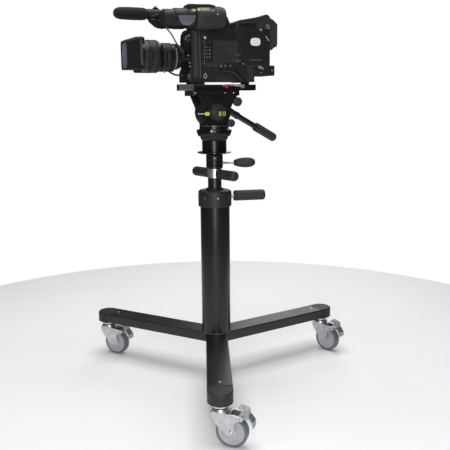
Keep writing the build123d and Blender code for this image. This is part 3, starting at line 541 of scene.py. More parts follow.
def build_handles():
    side = radial(SIDE_HANDLE_ANGLE, SIDE_HANDLE_Z)
    turned("side_handle_grip", grip_profile(70, 186, 19, 9), side, "grip_rubber", "height_lock",
        replaces=("side_handle",))
    stud = [(0, 24), (6, 24), (6, 60.5), (9.5, 60.5), (9.5, 64), (6.4, 64.6), (6.4, 70.5), (0, 70.5)]
    turned("side_handle_stud", stud, side, "pale_metal", "height_lock", segments=40, sharp=30)
    for label, way in (("front", T_HANDLE_ANGLE + 180), ("rear", T_HANDLE_ANGLE)):
        grip = lathe(grip_profile(26, T_HANDLE_REACH, 17.5, 12), radial(way, T_HANDLE_Z))
        piece(f"t_handle_grip_{label}", grip, "grip_rubber", "t_handle", replaces=("t_handle_grips",))
    place = radial(LEVER_ANGLE, LEVER_Z)
    bulb = [(0, 70), (7, 70), (9, 71), (10.6, 74), (13, 80), (15.6, 90), (17.4, 103), (18, 115)]
    bulb += [(17.6, 124), (16.2, 133), (13.4, 141), (9.6, 145.8), (4.8, 148.2), (0, 149)]
    turned("clamp_lever_bulb", bulb, place, "grip_rubber", "clamp_lever", replaces=("clamp_lever",), sharp=50)
    bar = [(0, 28), (5.6, 28), (5.6, 33), (4.2, 34.2), (4, 36), (4, 71), (0, 71)]
    turned("clamp_lever_bar", bar, place, "steel", "clamp_lever", segments=40, sharp=30)
    ring = [(26.1, 799.3), (29.4, 799.3), (30, 800.2), (30, 806.6), (29.5, 807.2), (29.5, 808.8), (30, 809.4)]
    ring += [(30, 815.8), (29.4, 816.7), (26.1, 816.7)]
    turned("clamp_lever_ring", ring, Matrix(), "anodised_black", "clamp_lever", segments=96, sharp=28)
    knob = radial(LEG_ANGLES["front"], 829)
    dot = [(0, 44.6), (1.6, 44.4), (2.8, 43.6), (3.2, 42.6), (0, 42.6)]
    turned("collar_knob_pin", dot, knob, "pale_metal", "collar_knob", segments=24)
    places = (794.5, 821.5, 834.5)
    rings = [[(29.4, z - 0.7), (30.25, z - 0.5), (30.25, z + 0.5), (29.4, z + 0.7)] for z in places]
    bands("collar_bands", rings, Matrix(), "seam_grey_and_highlight", "ram")


def build_pan_bar():
    way = Vector(PAN_BAR_WAY).normalized()
    place = turn(way, PAN_BAR_ROOT)
    profile = [(0, 225), (13, 225), (15.5, 226), (16.6, 229)]
    for k in range(27):
        z = 232 + 4.2 * k
        profile += [(16.7, z), (17, z + 0.8), (17, z + 2.4), (16.5, z + 3.2)]
    profile += [*corner(8, 349, 9, 0, 90, 6), (0, 358)]
    turned("pan_grip", profile, place, "pan_rubber", "pan_bar", replaces=("pan_bar_grip",), sharp=50)
    places = (-1, 9, 54, 62, 98, 106)
    rings = [[(12.6, z), (13.7, z + 0.4), (13.7, z + 2.8), (12.6, z + 3.2)] for z in places]
    bands("pan_bar_bands", rings, place, "molded_black", "pan_bar", 72)
    bolt = turn(IN, (-92, 50, 1012))
    head = [(0, 4), (5, 4), (6.5, 3), (6.5, 0), (0, 0)]
    turned("rosette_bolt", head, bolt, "steel", "pan_bar", segments=6, bevel=0.4)


# --- fluid head and plate
def fluted_knob(name, node, body, y, z, start, radius, thick):
    """A hand knob facing +X with ten flutes and a recessed cap."""
    place = turn(OUT, (start, y, z))
    profile = [(0, 0), (radius - 3, 0), (radius - 1, 1), (radius, 2.4), (radius, thick - 3.4)]
    profile += [(radius - 1, thick - 1), (radius - 3.2, thick), (radius - 6, thick),
        (radius - 6.6, thick - 1)]
    knob = lathe([*profile, (0, thick - 1)], place, ribs=10, depth=1.5, span=(2, thick - 3))
    piece(name, knob, "grip_rubber", body, replaces=(node,), sharp=50)
    stem = [(0, -14), (4, -14), (4, 0.2), (0, 0.2)]
    turned(name + "_stem", stem, place, "steel", body, segments=32)


def figure(name, segments, place, size):
    """One figure from bars, as on a dial: segments are numbered clockwise from the top, then the middle."""
    wide, tall, bar = size * 0.6, size, size * 0.17
    levels = {1: tall, 4: -tall, 7: 0}
    sides = {2: (wide, 0), 3: (wide, -tall), 5: (-wide, -tall), 6: (-wide, 0)}
    shape = bmesh.new()
    for k in segments:
        if k in levels:
            x0, x1, z0, z1 = -wide, wide, levels[k] - bar, levels[k] + bar
        else:
            x, z = sides[k]
            x0, x1, z0, z1 = x - bar, x + bar, z, z + tall
        slab((x0, z0, -0.2), (x1, z1, 0.35), place, shape)
    piece(name, shape, "yellow_paint", "tilt_cradle", bevel=0.15)


def build_head():
    fluted_knob("slide_lock_grip", "slide_lock_knob", "slide_lock", 66, 1024, 53, 16, 14)
    fluted_knob("pan_lock_grip", "pan_lock_knob", "pan_lock", 41, 951, 53.5, 14, 14)
    dial = turn(OUT, (53.1, -5, 988), (0, 1, 0))
    face = [(0, 1.0), (17, 1.0), (18, 0.6), (18, -0.4), (24.5, -0.4), (25.3, 0.6), (27.5, 0.6), (28.2, 0),
        (28.2, -1)]
    turned("tilt_drag_dial", [*face, (0, -1)], dial, "molded_black", "tilt_cradle", segments=96, sharp=25)
    marks = ticks(dial, 29.5, -1, 1.3, [(a, 1) for a in range(-60, 241, 15)], width=0.9, proud=2.6)
    piece("tilt_dial_marks", marks, "seam_grey_and_highlight", "tilt_cradle", bevel=0.1)
    upright = Matrix.Translation((0.0545, 0, 0)) @ turn(OUT, (0, 0, 0), (0, 1, 0))
    for k, segments in enumerate(((1, 2, 3, 4, 5, 6, 7), (1, 2, 3, 4, 5, 6))):
        spot = Matrix.Translation(Vector((0, 3.5 + 15 * k, 984)) * MM) @ upright
        figure(f"drag_figure_{k + 1}", segments, spot, 6.0)
    side_blocks("counterbalance_pointer", [(48, 73, 982.6, 985.2, 39.6, 40.7)], "white_paint", "pan_head",
        bevel=0.5)
    side_blocks("counterbalance_mark", [(35, 51, 978, 990, 51.6, 52.7)], "yellow_paint", "tilt_cradle",
        bevel=0.8)
    vial_way = CAMERA_SIDE - 8
    cup = [(0, 63.5), (3.4, 63.5), (4.4, 62.8), (4.6, 56), (0, 56)]
    turned("bubble_level_cup", cup, radial(vial_way, 924), "steel", "head_base", segments=40, sharp=30)
    top = turn(UP, (59.5 * cos(radians(vial_way)), 59.5 * sin(radians(vial_way)), 928.4))
    turned("bubble_level_glass", [(0, 2.2), (2, 2), (3.2, 1.2), (3.6, 0), (0, 0)], top, "pale_metal",
        "head_base", segments=32)
    rim = ticks(Matrix(), 52, 940, 3, [(a, 1 if a % 30 == 0 else 0.55) for a in range(0, 360, 6)], width=0.6)
    piece("pan_scale", rim, "white_paint", "pan_head")
    rings = [[(43.2, z - 0.8), (43.9, z - 0.5), (43.9, z + 0.5), (43.2, z + 0.8)] for z in (854, 858, 884)]
    bands("bowl_bands", rings, Matrix(), "bowl_black", "ram")
    flare = [(43.7, 890), (46, 892), (48.5, 898), (51.5, 908), (52.5, 911), (51, 911), (47, 898), (43.7, 893)]
    skirt = [(58, 926), (62, 926), (62.6, 921), (57.4, 907), (56, 905), (54.4, 905), (54.6, 908), (58, 920)]
    turned("head_skirt", skirt, Matrix(), "bowl_black", "head_base", segments=96, sharp=40)
    turned("bowl_flare", flare, Matrix(), "bowl_black", "ram", segments=96, sharp=40)
    lugs = bmesh.new()
    for k in range(6):
        slab((55, -6, 918.5), (61.5, 6, 928), Matrix.Rotation(radians(60 * k + 12), 4, "Z"), lugs)
    piece("level_rim_lugs", lugs, "anodised_black", "head_base", bevel=1.2)
    scale = [(50 - 5 * k - 0.35, 50 - 5 * k + 0.35, 1053, 1056.5 if k % 6 else 1059, 45.8,
        46.25) for k in range(13)]
    side_blocks("platform_scale", scale, "seam_grey_and_highlight", "tilt_cradle")
    heads = [(46, y, 1054) for y in (-82, 26, 58)]
    piece("platform_screws", studs(heads, OUT, 2.6, 1.0, True), "steel", "tilt_cradle")
    ribs = [((51.6, y - 1.1, 1006), (53.2, y + 1.1, 1040)) for y in (-52, -38, -24)]
    blocks("cheek_ribs", ribs, "anodised_black", "tilt_cradle", bevel=0.6)


def build_plate():
    piece("plate_nose_pad", prism([(-12, -130, 1083), (12, -130, 1083), (29, -86, 1083), (-29, -86, 1083)],
        (0, 0, 1.6)), "grey_wedge", "adapter_plate", bevel=0.6)
    piece("plate_nose_cheek", prism([(13.6, -130.6, 1066), (31.2, -84.5, 1066), (31.2, -84.5, 1081),
        (13.6, -130.6, 1081)], (0.4, -0.15, 0)), "grey_wedge", "adapter_plate", bevel=0.15)
    side_blocks("plate_rail_edge", [(-20, 82, 1080.6, 1082.6, 30.8, 31.6)], "seam_grey_and_highlight", "adapter_plate",
        bevel=0.3)
    glint = turn(OUT, (36, 24, 1079.5))
    turned("release_spring_cover", [(0, 0.8), (2.6, 0.6), (3.2, -0.6), (3.2, -5), (0, -5)], glint,
        "pale_metal", "adapter_plate", segments=28, sharp=30)
    pads = [(-64, -50, 1079, 1084.4, 36, 41), (-84, -70, 1078, 1083, 36, 39.4)]
    side_blocks("plate_lever_pads", pads, "pale_metal", "plate_lock_lever", bevel=0.9)


# --- lens
def build_lens():
    """Ribbed rings, scale marks and the lined hood."""
    focus = [(46.1, 204.3), (52.4, 204.3), (53.6, 205.4), (53.6, 206.2), (54, 206.8), (54, 217.6),
        (53.4, 218.2)]
    focus += [(53.4, 222), (53.4, 229.4), (54, 230), (54, 237.4), (52.4, 239.7), (46.1, 239.7)]
    ring = lathe(focus, LENS_FRAME, ribs=72, depth=0.8, span=(206.5, 217.8))
    piece("focus_grip", ring, "ring_rubber", "focus_ring", replaces=("focus_ring",), sharp=45)
    rings = [[(53.3, u), (53.85, u + 0.2), (53.85, u + 1.4), (53.3, u + 1.6)] for u in (220.0, 227.6)]
    bands("focus_lines", rings, LENS_FRAME, "green_line", "focus_ring")
    spread = [(a, 1 if a % 20 == 0 else 0.5) for a in range(-40, 81, 10)]
    piece("focus_scale", ticks(LENS_FRAME, 53.4, 223, 3, spread), "seam_grey_and_highlight", "focus_ring")

    zoom = [(40.1, 156.4), (44, 156.4), (45, 157.4), (45, 174), (44.4, 174.6), (44.4, 176.4), (45, 177)]
    zoom += [(45, 188.6), (44, 189.7), (40.1, 189.7)]
    ring = lathe(zoom, LENS_FRAME, ribs=64, depth=0.8, span=(158, 173.8))
    piece("zoom_grip", ring, "ring_rubber", "zoom_ring", replaces=("zoom_ring",), sharp=45)
    lever = turn((cos(radians(250)), 0, sin(radians(250))), (0, -172, LENS_Z))
    knob = [(0, 43), (3, 43), (3, 46), (2.4, 47), (2.4, 50), (3.2, 51), (3.2, 54.6), (2.2, 56), (0, 56)]
    turned("zoom_lever", knob, lever, "steel", "zoom_ring", segments=28)
    piece("zoom_scale", ticks(LENS_FRAME, 45, 178, 3, spread), "seam_grey_and_highlight", "zoom_ring")

    iris = [(38.1, 134.4), (42.2, 134.4), (43, 135.2), (43, 148.8), (42.2, 149.7), (38.1, 149.7)]
    ring = lathe(iris, LENS_FRAME, ribs=60, depth=1.1, span=(135, 149))
    piece("iris_grip", ring, "ring_rubber", "iris_ring", replaces=("iris_ring",), sharp=45)
    arc = [(a, 1 if a % 3 else 0.6) for a in range(-62, 40, 6)]
    piece("iris_scale", ticks(LENS_FRAME, 43, 143, 2.4, arc, width=1.6, proud=0.25), "white_paint",
        "iris_ring")

    teeth = ticks(LENS_FRAME, 34, 107.5, 6, [(a, 1) for a in range(0, 360, 12)], width=4, proud=2.6)
    piece("lens_mount_grip", teeth, "anodised_black", bevel=0.6)
    index = turn(OUT, (38, -103, LENS_Z + 3), (0, 0, 1))
    turned("mount_index", [(0, 1.8), (1.8, 1.4), (3, 0), (0, 0)], index, "white_paint", segments=3)
    heads = bmesh.new()
    for angle in (20, 140, 260):
        for u, r in ((131, 40), (195, 46.4)):
            way = Vector((cos(radians(angle)), 0, sin(radians(angle))))
            spot = Vector((0, -u, LENS_Z)) + way * r
            lathe([(0, 0.4), (1.3, 0.4), (1.6, 0), (1.6, -0.6), (0, -0.6)], turn(way, spot), 16, shape=heads)
    piece("barrel_screws", heads, "steel")

    build_hood()
    build_drive()


def rounded_outline(half, low, high, radius, steps=5):
    """Points (x, z) round an upright rectangle with rounded corners."""
    middles = ((half - radius, high - radius), (radius - half, high - radius), (radius - half, low + radius),
               (half - radius, low + radius))
    spots = []
    for quarter, (x, z) in enumerate(middles):
        for k in range(steps + 1):
            angle = radians(90 * quarter + 90 * k / steps)
            spots.append((x + radius * cos(angle), z + radius * sin(angle)))
    return spots


def skin(shape, rings, closed=False):
    """Joins rings of the same number of places with faces."""
    made = [[shape.verts.new(place) for place in ring] for ring in rings]
    for first, second in list(zip(made, made[1:])) + ([(made[-1], made[0])] if closed else []):
        bridge(shape, first, second)
    return shape


def build_hood():
    """The hood's ribbed lining, coloured light blue-grey as a painted sheen on its dark inside, its rounded
    mouth, its clamp band and screws.
    """
    wall, rear, mouth = 3.0, 262.2, 18.0
    rings = []
    for k in range(23):
        u = rear + wall + 0.6 + k * 2.05
        roof = 1231.7 - 10.3 * max(0.0, (u - 281) / 34)
        dip = 0.7 * (k % 2)
        outline = rounded_outline(HOOD_HALF - wall - 0.3 - dip, HOOD_BOTTOM + wall + 0.3 + dip, roof - dip,
            mouth)
        rings.append([at(x, u, z) for x, z in outline])
    # The lining's light blue-grey is a painted sheen on the dark inner wall.
    piece("hood_lining", skin(bmesh.new(), rings), "liner_painted_sheen", sharp=20)
    edge = []
    for u, inset, radius in ((309, 3.6, mouth), (HOOD_FRONT, 3.6, mouth), (HOOD_FRONT + 0.3, 2.8, mouth),
                             (HOOD_FRONT + 0.3, 1.0, 12), (HOOD_FRONT, 0.4, 12), (309, 0.6, 12)):
        outline = rounded_outline(HOOD_HALF - inset, HOOD_BOTTOM + inset,
            1226 + (HOOD_FRONT - u) * 0.3 - inset, radius)
        edge.append([at(x, u, z) for x, z in outline])
    piece("hood_mouth_edge", skin(bmesh.new(), edge, closed=True), "hood_black", sharp=25)
    stripes = [(262.4, 270, 1145, 1224, *x) for x in ((48.4, 49.6), (-49.6, -48.4))]
    side_blocks("hood_rear_bands", stripes, "stripe_grey", bevel=0.5)
    cheeks = [(275, 304, 1148, 1212, *x) for x in ((-49.5, -48.7), (48.7, 49.5))]
    side_blocks("hood_side_panels", cheeks, "hood_black", bevel=0.5)
    clamp = [(FLANGE_RADIUS - 0.4, 243), (FLANGE_RADIUS + 0.6, 243.6), (FLANGE_RADIUS + 0.6, 252),
        (FLANGE_RADIUS - 0.4, 252.6)]
    turned("hood_clamp_band", clamp, LENS_FRAME, "molded_black", segments=96, sharp=30)
    screw = turn(UP, (0, -257, 1236))
    head = lathe([(0, 4), (4.4, 4), (5.4, 3.2), (5.4, 0), (0, 0)], screw, ribs=14, depth=0.6, span=(-1, 3.5))
    piece("hood_clamp_screw", head, "molded_black", sharp=40)
    inner = [(0, 249), (14, 248), (26, 245), (36, 240), (36, 238), (0, 238)]
    turned("inner_element", inner, LENS_FRAME, "lens_glass", segments=72, sharp=60)


def build_drive():
    """Servo unit details: lamp, buttons, lower cover and grip ribs."""
    lamp = turn((0.3, -0.2, -1), (-62, -198, 1127.4))
    turned("drive_lamp", [(0, 1.8), (1.6, 1.2), (2.2, 0), (0, 0)], lamp, "pale_metal", segments=20)
    pads = [((-84, -u - 5, 1213.4), (-76, -u + 5, 1215.4)) for u in (150, 226, 244)]
    blocks("drive_buttons", pads, "grip_rubber", bevel=0.8)
    side_blocks("drive_lower_plate", [(200, 256, 1125.2, 1126.6, -94, -64)], "seam_grey_and_highlight", bevel=0.5)
    ribs = [(172 + 14 * k, 178 + 14 * k, 1140, 1200, -101.2, -99.4) for k in range(6)]
    side_blocks("drive_grip_ribs", ribs, "grip_rubber", bevel=0.6)


# --- microphone
def build_microphone():
    """Foam windscreen with an uneven, open-celled skin, and the slotted body behind it."""
    profile = [(10.6, 218), (15.5, 217.4), (18.4, 218.4), (20.2, 222)]
    profile += [(20.5 + 0.8 * sin(pi * k / 10), 222 + 8.4 * k) for k in range(1, 10)]
    profile += [(20, 308), (18.2, 317), (15, 323.4), (10, 328), (5, 330.1), (0, 330.5)]
    foam_code = lathe(profile, MIC_FRAME, 64)
    foam = piece("microphone_foam", foam_code, "foam", replaces=("microphone",), sharp=70)
    finer = foam.modifiers.new("finer", "SUBSURF")
    finer.levels = finer.render_levels = 2
    cells = bpy.data.textures.new("foam_cells", "CLOUDS")
    cells.noise_scale = 0.0035
    uneven = foam.modifiers.new("uneven", "DISPLACE")
    uneven.texture = cells
    uneven.texture_coords = "LOCAL"
    uneven.strength = 0.0011
    uneven.mid_level = 0.75
    tube = [(0, 152), (8.6, 152), (10.5, 153.4)]
    for k in range(5):
        u = 204 + 3.2 * k
        tube += [(10.5, u), (9.9, u + 0.4), (9.9, u + 1.4), (10.5, u + 1.8)]
    tube += [(10.5, 226), (9, 226), (0, 226)]
    turned("microphone_tube", tube, MIC_FRAME, "anodised_black", segments=48, sharp=30)
    plug = [(0, 138), (5.5, 138), (7.4, 140), (7.4, 147), (8.4, 148), (8.4, 153), (0, 153)]
    turned("microphone_plug", plug, MIC_FRAME, "molded_black", segments=36, sharp=30)
    shock = [(16.8, 167), (17.8, 168), (17.8, 212), (16.8, 213.4)]
    ring = lathe(shock, MIC_FRAME, ribs=20, depth=1.0, span=(167.5, 212.5))
    piece("mic_shock_ring", ring, "ring_rubber", sharp=40)
    knob = turn(UP, (MIC_X, -183, 1343))
    head = [(0, 6.8), (4.4, 6.8), (5.2, 6), (5.2, 2), (3, 1.4), (3, -1), (0, -1)]
    turned("mic_clamp_knob", head, knob, "pale_metal", ribs=(12, 0.5, (1.8, 6.2)), sharp=40)
    lows = ((202, 1293.5), (194, 1287), (186, 1280.5), (178, 1278), (170, 1276))
    ribs = [((MIC_X - 6.6, -u - 1.2, low), (MIC_X + 10.6, -u + 1.2, 1306)) for u, low in lows]
    blocks("mic_mount_ribs", ribs, "ring_rubber", bevel=0.6)
    # Four slanted light blue-grey bars on the mount's left side: painted glints.
    glint_bars = bmesh.new()
    for u, z in ((205, 1311), (190, 1317), (203, 1300), (176, 1300)):
        side_prism([(u, z), (u, z + 2.6), (u - 12, z + 5.2), (u - 12, z + 2.6)], MIC_X + 9, 9.2, glint_bars)
    piece("mic_mount_glint_bars", glint_bars, "blue_panel_and_glint", bevel=0.5)


# --- viewfinder
def curved_patch(place, radius, ahead, angles, finish, name, body, bow=False):
    """A thin plate bent round a tube; with bow its lower edge is drawn in to a half ellipse."""
    rows, columns, thick = 10, 8, 0.9
    (near, far), (low, high) = ahead, angles
    middle, half = (near + far) / 2, (far - near) / 2
    sheets = []
    shape = bmesh.new()
    for r in (radius, radius - thick):
        sheet = []
        for j in range(rows + 1):
            share = j / rows
            wide = half * (max(1 - (1 - share) ** 2, 0.16) ** 0.5 if bow else 1.0)
            angle = radians(low + (high - low) * share)
            sheet.append([shape.verts.new(place @ (Vector((r * cos(angle), r * sin(angle),
                          middle + wide * (2 * k / columns - 1))) * MM)) for k in range(columns + 1)])
        fill(shape, sheet)
        edge = sheet[0] + [row[-1] for row in sheet[1:]]
        edge += sheet[-1][-2::-1] + [row[0] for row in sheet[-2:0:-1]]
        sheets.append(edge)
    bridge(shape, *sheets)
    piece(name, shape, finish, body, sharp=40)


def build_viewfinder():
    """Ribbed eyecup with its flat-topped block, and the controls and labels on the tube."""
    profile = [(0, 99.6), (31, 99.6), (36, 96), (37, 93), (37.7, 78), (37.7, 54)]
    for k in range(6):
        u = 51 - 7.6 * k
        profile += [(37.4 - 0.45 * k, u), (37.4 - 0.45 * k, u - 3.6), (35.8 - 0.45 * k, u - 4.8),
            (35.8 - 0.45 * k, u - 6.8)]
    profile += [(33.6, 4), (32.4, 0), (30.6, -2.6), (29, -3), (27, -2.4), (25, 4), (22, 40), (20, 60),
        (0, 60)]
    turned("eyecup_bellows", profile, VF_FRAME, "grip_rubber", "eyecup", segments=96, replaces=("eyecup",),
        sharp=32)
    lid = [(15, 99.4), (40.7, 99.4), (40.7, 52), (36.6, 32), (15, 32)]
    block = bmesh.new()
    near = [block.verts.new(VF_FRAME @ (Vector((-21.8, h, u)) * MM)) for h, u in lid]
    far = [block.verts.new(VF_FRAME @ (Vector((21.8, h, u)) * MM)) for h, u in lid]
    cap_and_join(block, near, far)
    piece("eyecup_block", block, "camera_plastic", "eyecup", bevel=2.0, segments=3)
    eye_lens = [(0, 57.6), (10, 58.4), (17, 60.2), (19.8, 60.2), (19.8, 61), (0, 61)]
    turned("eyepiece_lens", eye_lens, VF_FRAME, "lens_glass", "eyecup", segments=64, sharp=60)
    body = "viewfinder"
    places = ((108, 33), (119, 33), (137, 31), (160, 31), (176, 28), (190, 28), (198, 28))
    rings = [[(r - 1, u), (r + 0.5, u + 0.5), (r + 0.5, u + 2.4), (r - 1, u + 3)] for u, r in places]
    bands("viewfinder_bands", rings, VF_FRAME, "molded_black", body, 72)
    cap = [(0, 209.4), (18, 209.4), (22, 208.6), (23.8, 207), (23.8, 205), (0, 205)]
    turned("viewfinder_end_cap", cap, VF_FRAME, "molded_black", body, segments=60, sharp=30)
    curved_patch(VF_FRAME, 34.6, (105, 163), (-46, 8), "blue_panel_and_glint", "viewfinder_side_plate", body, bow=True)
    curved_patch(VF_FRAME, 33.9, (101.5, 115), (31, 52), "yellow_label", "viewfinder_label", body)
    curved_patch(VF_FRAME, 38.4, (88, 97), (27, 45), "yellow_label", "eyecup_label_front", "eyecup")
    curved_patch(VF_FRAME, 38.5, (56, 86), (27, 48), "amber_label", "eyecup_label", "eyecup")
    clips = bmesh.new()
    for u, up in ((46, 18), (30, 7)):
        out = 37.2 if u > 40 else 36.6
        spot = VF_FRAME @ Matrix.Translation(Vector(((out * out - up * up) ** 0.5 - 0.6, up, u)) * MM)
        spot = spot @ Matrix.Rotation(radians(90), 4, "Y")
        lathe([(0, 1.6), (1.4, 1.4), (2.0, 0.8), (2.0, -0.6), (0, -0.6)], spot, 20, shape=clips)
    piece("eyecup_screws", clips, "pale_metal", "eyecup", sharp=40)
    shoe = slab((-14, -34, 135), (14, -29, 170), VF_FRAME)
    piece("viewfinder_shoe", shoe, "anodised_black", body, bevel=1.5)


# --- camcorder body
def build_left_side():
    """Raised panels, switches and seams on the side with the controls."""
    face = BODY_SIDE
    inset = SHELL_SIDE - face
    # The front control column is a lighter slate blue than the body: a painted sheen.
    column = [(76, 95, 1104, 1258, -1, 1.0)]
    side_blocks("front_control_column", column, "slate_plastic_painted_sheen", face=face, bevel=1.2, segments=3)
    side_blocks("upper_side_panel", [(-57, 42, 1232, 1260, -1, 0.5)], "olive_black", face=face, bevel=0.8)
    lines = [(69.5, 73, 1104, 1256, -1, 1.4), (84.5, 87, 1112, 1250, -1, 1.5),
        (54.6, 57.4, 1150, 1232, -1, 1.4)]
    lines += [(-24, 66, 1149.4, 1151, -1, 0.8), (-60.6, -59.2, 1236, 1266, inset - 0.5, inset + 0.9)]
    side_blocks("side_seams", lines, "seam_grey_and_highlight", face=face, bevel=0.3)
    ribs = [(61, 71.4, 1168 + 5 * k, 1170.4 + 5 * k, -1, 1.6) for k in range(12)]
    side_blocks("control_ribs", ribs, "camera_plastic", face=face, bevel=0.5)
    side_blocks("switch_panel", [(30, 56, 1166, 1216, -0.5, 0.7)], "gloss_black", "audio_door", face,
        bevel=0.8)
    places = [(face + 0.6, -u, 1172 + 11 * k) for u in (36.5, 48) for k in range(4)]
    piece("switch_tips", studs(places, OUT, 1.7, 1.6), "pale_metal", "audio_door")
    piece("record_button_rim", studs([(face, -52, 1236)], OUT, 4.6, 2.0, True), "pale_metal")
    dials = bmesh.new()
    for u in (60, 76):
        spot = turn(OUT, (face, -u, 1243))
        lathe([(0, 3.4), (5.4, 3.4), (6.4, 2.6), (6.4, -1), (0, -1)], spot, ribs=16, depth=0.5,
            span=(-0.5, 3), shape=dials)
    piece("audio_dials", dials, "molded_black", sharp=40)
    pull = [(-18, 14, 1160, 1166, -0.5, 1.2)]
    side_blocks("door_pull", pull, "door_plastic", "audio_door", face, bevel=1.0, segments=3)
    buttons = []
    for row in range(3):
        buttons += [(-44 - 6 * k, -40 - 6 * k, 1196 - 7 * row, 1200 - 7 * row, -0.5, 0.9) for k in range(4)]
    side_blocks("menu_buttons", buttons, "door_plastic", face=face, bevel=0.6)
    labels = [(-76, -59, 1179.6, 1182.4, -0.5, 0.5), (-77, -59, 1159.5, 1164, -0.5, 0.5)]
    labels += [(-158, -104, 1163, 1167, inset - 0.4, inset + 0.6)]
    side_blocks("side_label_bars", labels, "seam_grey_and_highlight", face=face, bevel=0.3)
    marks = [(u, u + 4.5, 1143, 1145.4, -0.5, 0.35) for u in (48, 40, 32, 20, 12)]
    side_blocks("side_marks", marks, "amber_label", face=face, bevel=0.2)
    heads = [(face, 4, 1143.2), (face, 20, 1143.6), (face, 38, 1144.6), (face, -90, 1108), (face, 86, 1151)]
    piece("side_screws", studs(heads, OUT, 2.3, 0.9, True), "steel")
    loop = bmesh.new()
    spot = turn(OUT, (face, -53, 1110))
    lathe([(4.4, 0.5), (5.6, 1.6), (6.8, 0.5), (5.6, -0.6)], spot, 32, shape=loop)
    slab((face - 0.5, -54.6, 1115), (face + 1.6, -51.4, 1121), shape=loop)
    piece("strap_loop", loop, "pale_metal")


def build_rear_side():
    """Sticker, power switches, latch and the slanted lower cover at the rear of the left side."""
    face = SHELL_SIDE
    wide, tall, bulge = 17.6, 12.4, 3.2
    outline = []
    for side, (u0, z0, u1, z1) in enumerate(((-1, 1, 1, 1), (1, 1, 1, -1), (1, -1, -1, -1), (-1, -1, -1, 1))):
        for k in range(8):
            share = k / 8
            u, z = u0 + (u1 - u0) * share, z0 + (z1 - z0) * share
            bow = bulge * (1 - (2 * share - 1) ** 2)
            u = u * (wide - 2) + (bow * u0 if side in (1, 3) else 0)
            z = z * (tall - 2) + (bow * z0 if side in (0, 2) else 0)
            outline.append((-133 + u, 1226 + z))
    piece("blank_sticker", side_prism(outline, face - 0.2, 0.7), "sticker", bevel=0.2)
    side_blocks("sticker_inset", [(-143, -123, 1221, 1232, 0.3, 0.75)], "white_paint", face=face, bevel=0.25)
    piece("power_switch", side_prism([(-147, 1262.5), (-153, 1273), (-160, 1262.5)], 59.6, 3.2),
        "pale_metal", bevel=0.8)
    dots = [(60.4, y, z) for y, z in ((177, 1283), (177, 1276), (184.5, 1281), (184, 1273))]
    piece("rear_switch_row", studs(dots, OUT, 2.6, 2.4), "pale_metal")
    piece("battery_catch", side_prism([(-172, 1243), (-170, 1248), (-183, 1236), (-186, 1231), (-180, 1231)],
        face - 0.4, 2.6), "pale_metal", bevel=0.7)
    piece("lower_band", side_prism([(-66, 1142), (-66, 1150), (-100, 1150), (-150, 1148), (-150, 1142)],
        face - 0.4, 2.2), "door_plastic", bevel=0.8)
    piece("lower_rear_cover", side_prism([(-100, 1094), (-100, 1147), (-126, 1147), (-126, 1094)],
        face - 0.4, 2.0), "molded_black", bevel=0.9)
    piece("rear_latch", side_prism([(-144, 1145), (-144, 1137), (-154, 1137), (-161, 1132), (-164, 1135),
        (-156, 1145)], face - 0.2, 3), "pale_metal", bevel=0.8)
    pins = [(face, 154, 1123), (face, 197, 1131)]
    piece("rear_pins", studs(pins, OUT, 2.4, 1.6), "pale_metal")
    lines = [(-182, -160, 1205, 1206.4), (-161.4, -160, 1150, 1262), (-160, -62, 1262, 1263.4)]
    lines = [(*line, -0.4, 0.6) for line in lines]
    side_blocks("rear_panel_lines", lines, "camera_plastic", face=face, bevel=0.3)


def build_front_and_top():
    """Front face controls, the handle's rubber and the rear box's vents."""
    front = -101.0
    blocks("front_right_panel", [((-56, front - 1.4, 1128), (-40, front + 1, 1240))], "molded_black",
        bevel=1.5)
    blocks("front_label_plate", [((44, -109.4, 1100), (60, -107, 1118))], "blue_panel_and_glint", bevel=0.8)
    sw = bmesh.new()
    for z in (1128.5, 1140, 1151):
        lathe([(0, 4), (2.4, 4), (3, 3), (3, -1), (0, -1)], turn(AHEAD, (50, front + 1, z + 14)), 24,
            shape=sw)
    piece("front_switches", sw, "pale_metal", sharp=30)
    marks = bmesh.new()
    knob = turn(AHEAD, (38, -112, 1230), (0, 0, 1))
    slab((-1, -1, -0.3), (11, 1, 0.5), knob, marks)
    piece("filter_knob_pointer", marks, "white_paint", "filter_knob", bevel=0.3)
    rim = ticks(knob, 15, -11.6, 1.4, [(a, 1) for a in range(-90, 91, 45)], width=1, proud=2)
    piece("filter_marks", rim, "white_paint")
    ribs = [((-15, -50 + 5.4 * k, 1298.4), (15, -50 + 5.4 * k + 3, 1320.8)) for k in range(16)]
    blocks("handle_grip_ribs", ribs, "grip_rubber", bevel=1.0)
    holes = bmesh.new()
    for y in (-30, 18, 32):
        lathe([(0, 0.4), (3, 0.4), (3.6, 1), (4.4, 1), (4.8, 0), (0, 0)], turn(UP, (0, y, 1320)), 28,
            shape=holes)
    piece("handle_eyes", holes, "steel", sharp=30)
    springs = [((x, -85, 1322.8), (x + 2.2, -65, 1323.6)) for x in (-9.6, 7.4)]
    blocks("shoe_springs", springs, "steel", bevel=0.2)
    vents = []
    for y in range(84, 150, 6):
        z = 1296 + (y - 74) * 15 / 84
        vents.append(((-40, y, z - 1), (42, y + 2.4, z + 1.8)))
    blocks("rear_box_vents", vents, "molded_black", bevel=0.7)
    blocks("rear_box_window", [((59.4, 70, 1272), (61.4, 136, 1290))], "gloss_black", bevel=0.8)
    ribs = [((-42, 221.2, z), (46, 222.0, z + 5)) for z in range(1212, 1289, 11)]
    blocks("battery_ribs", ribs, "molded_black", "battery", bevel=0.8)


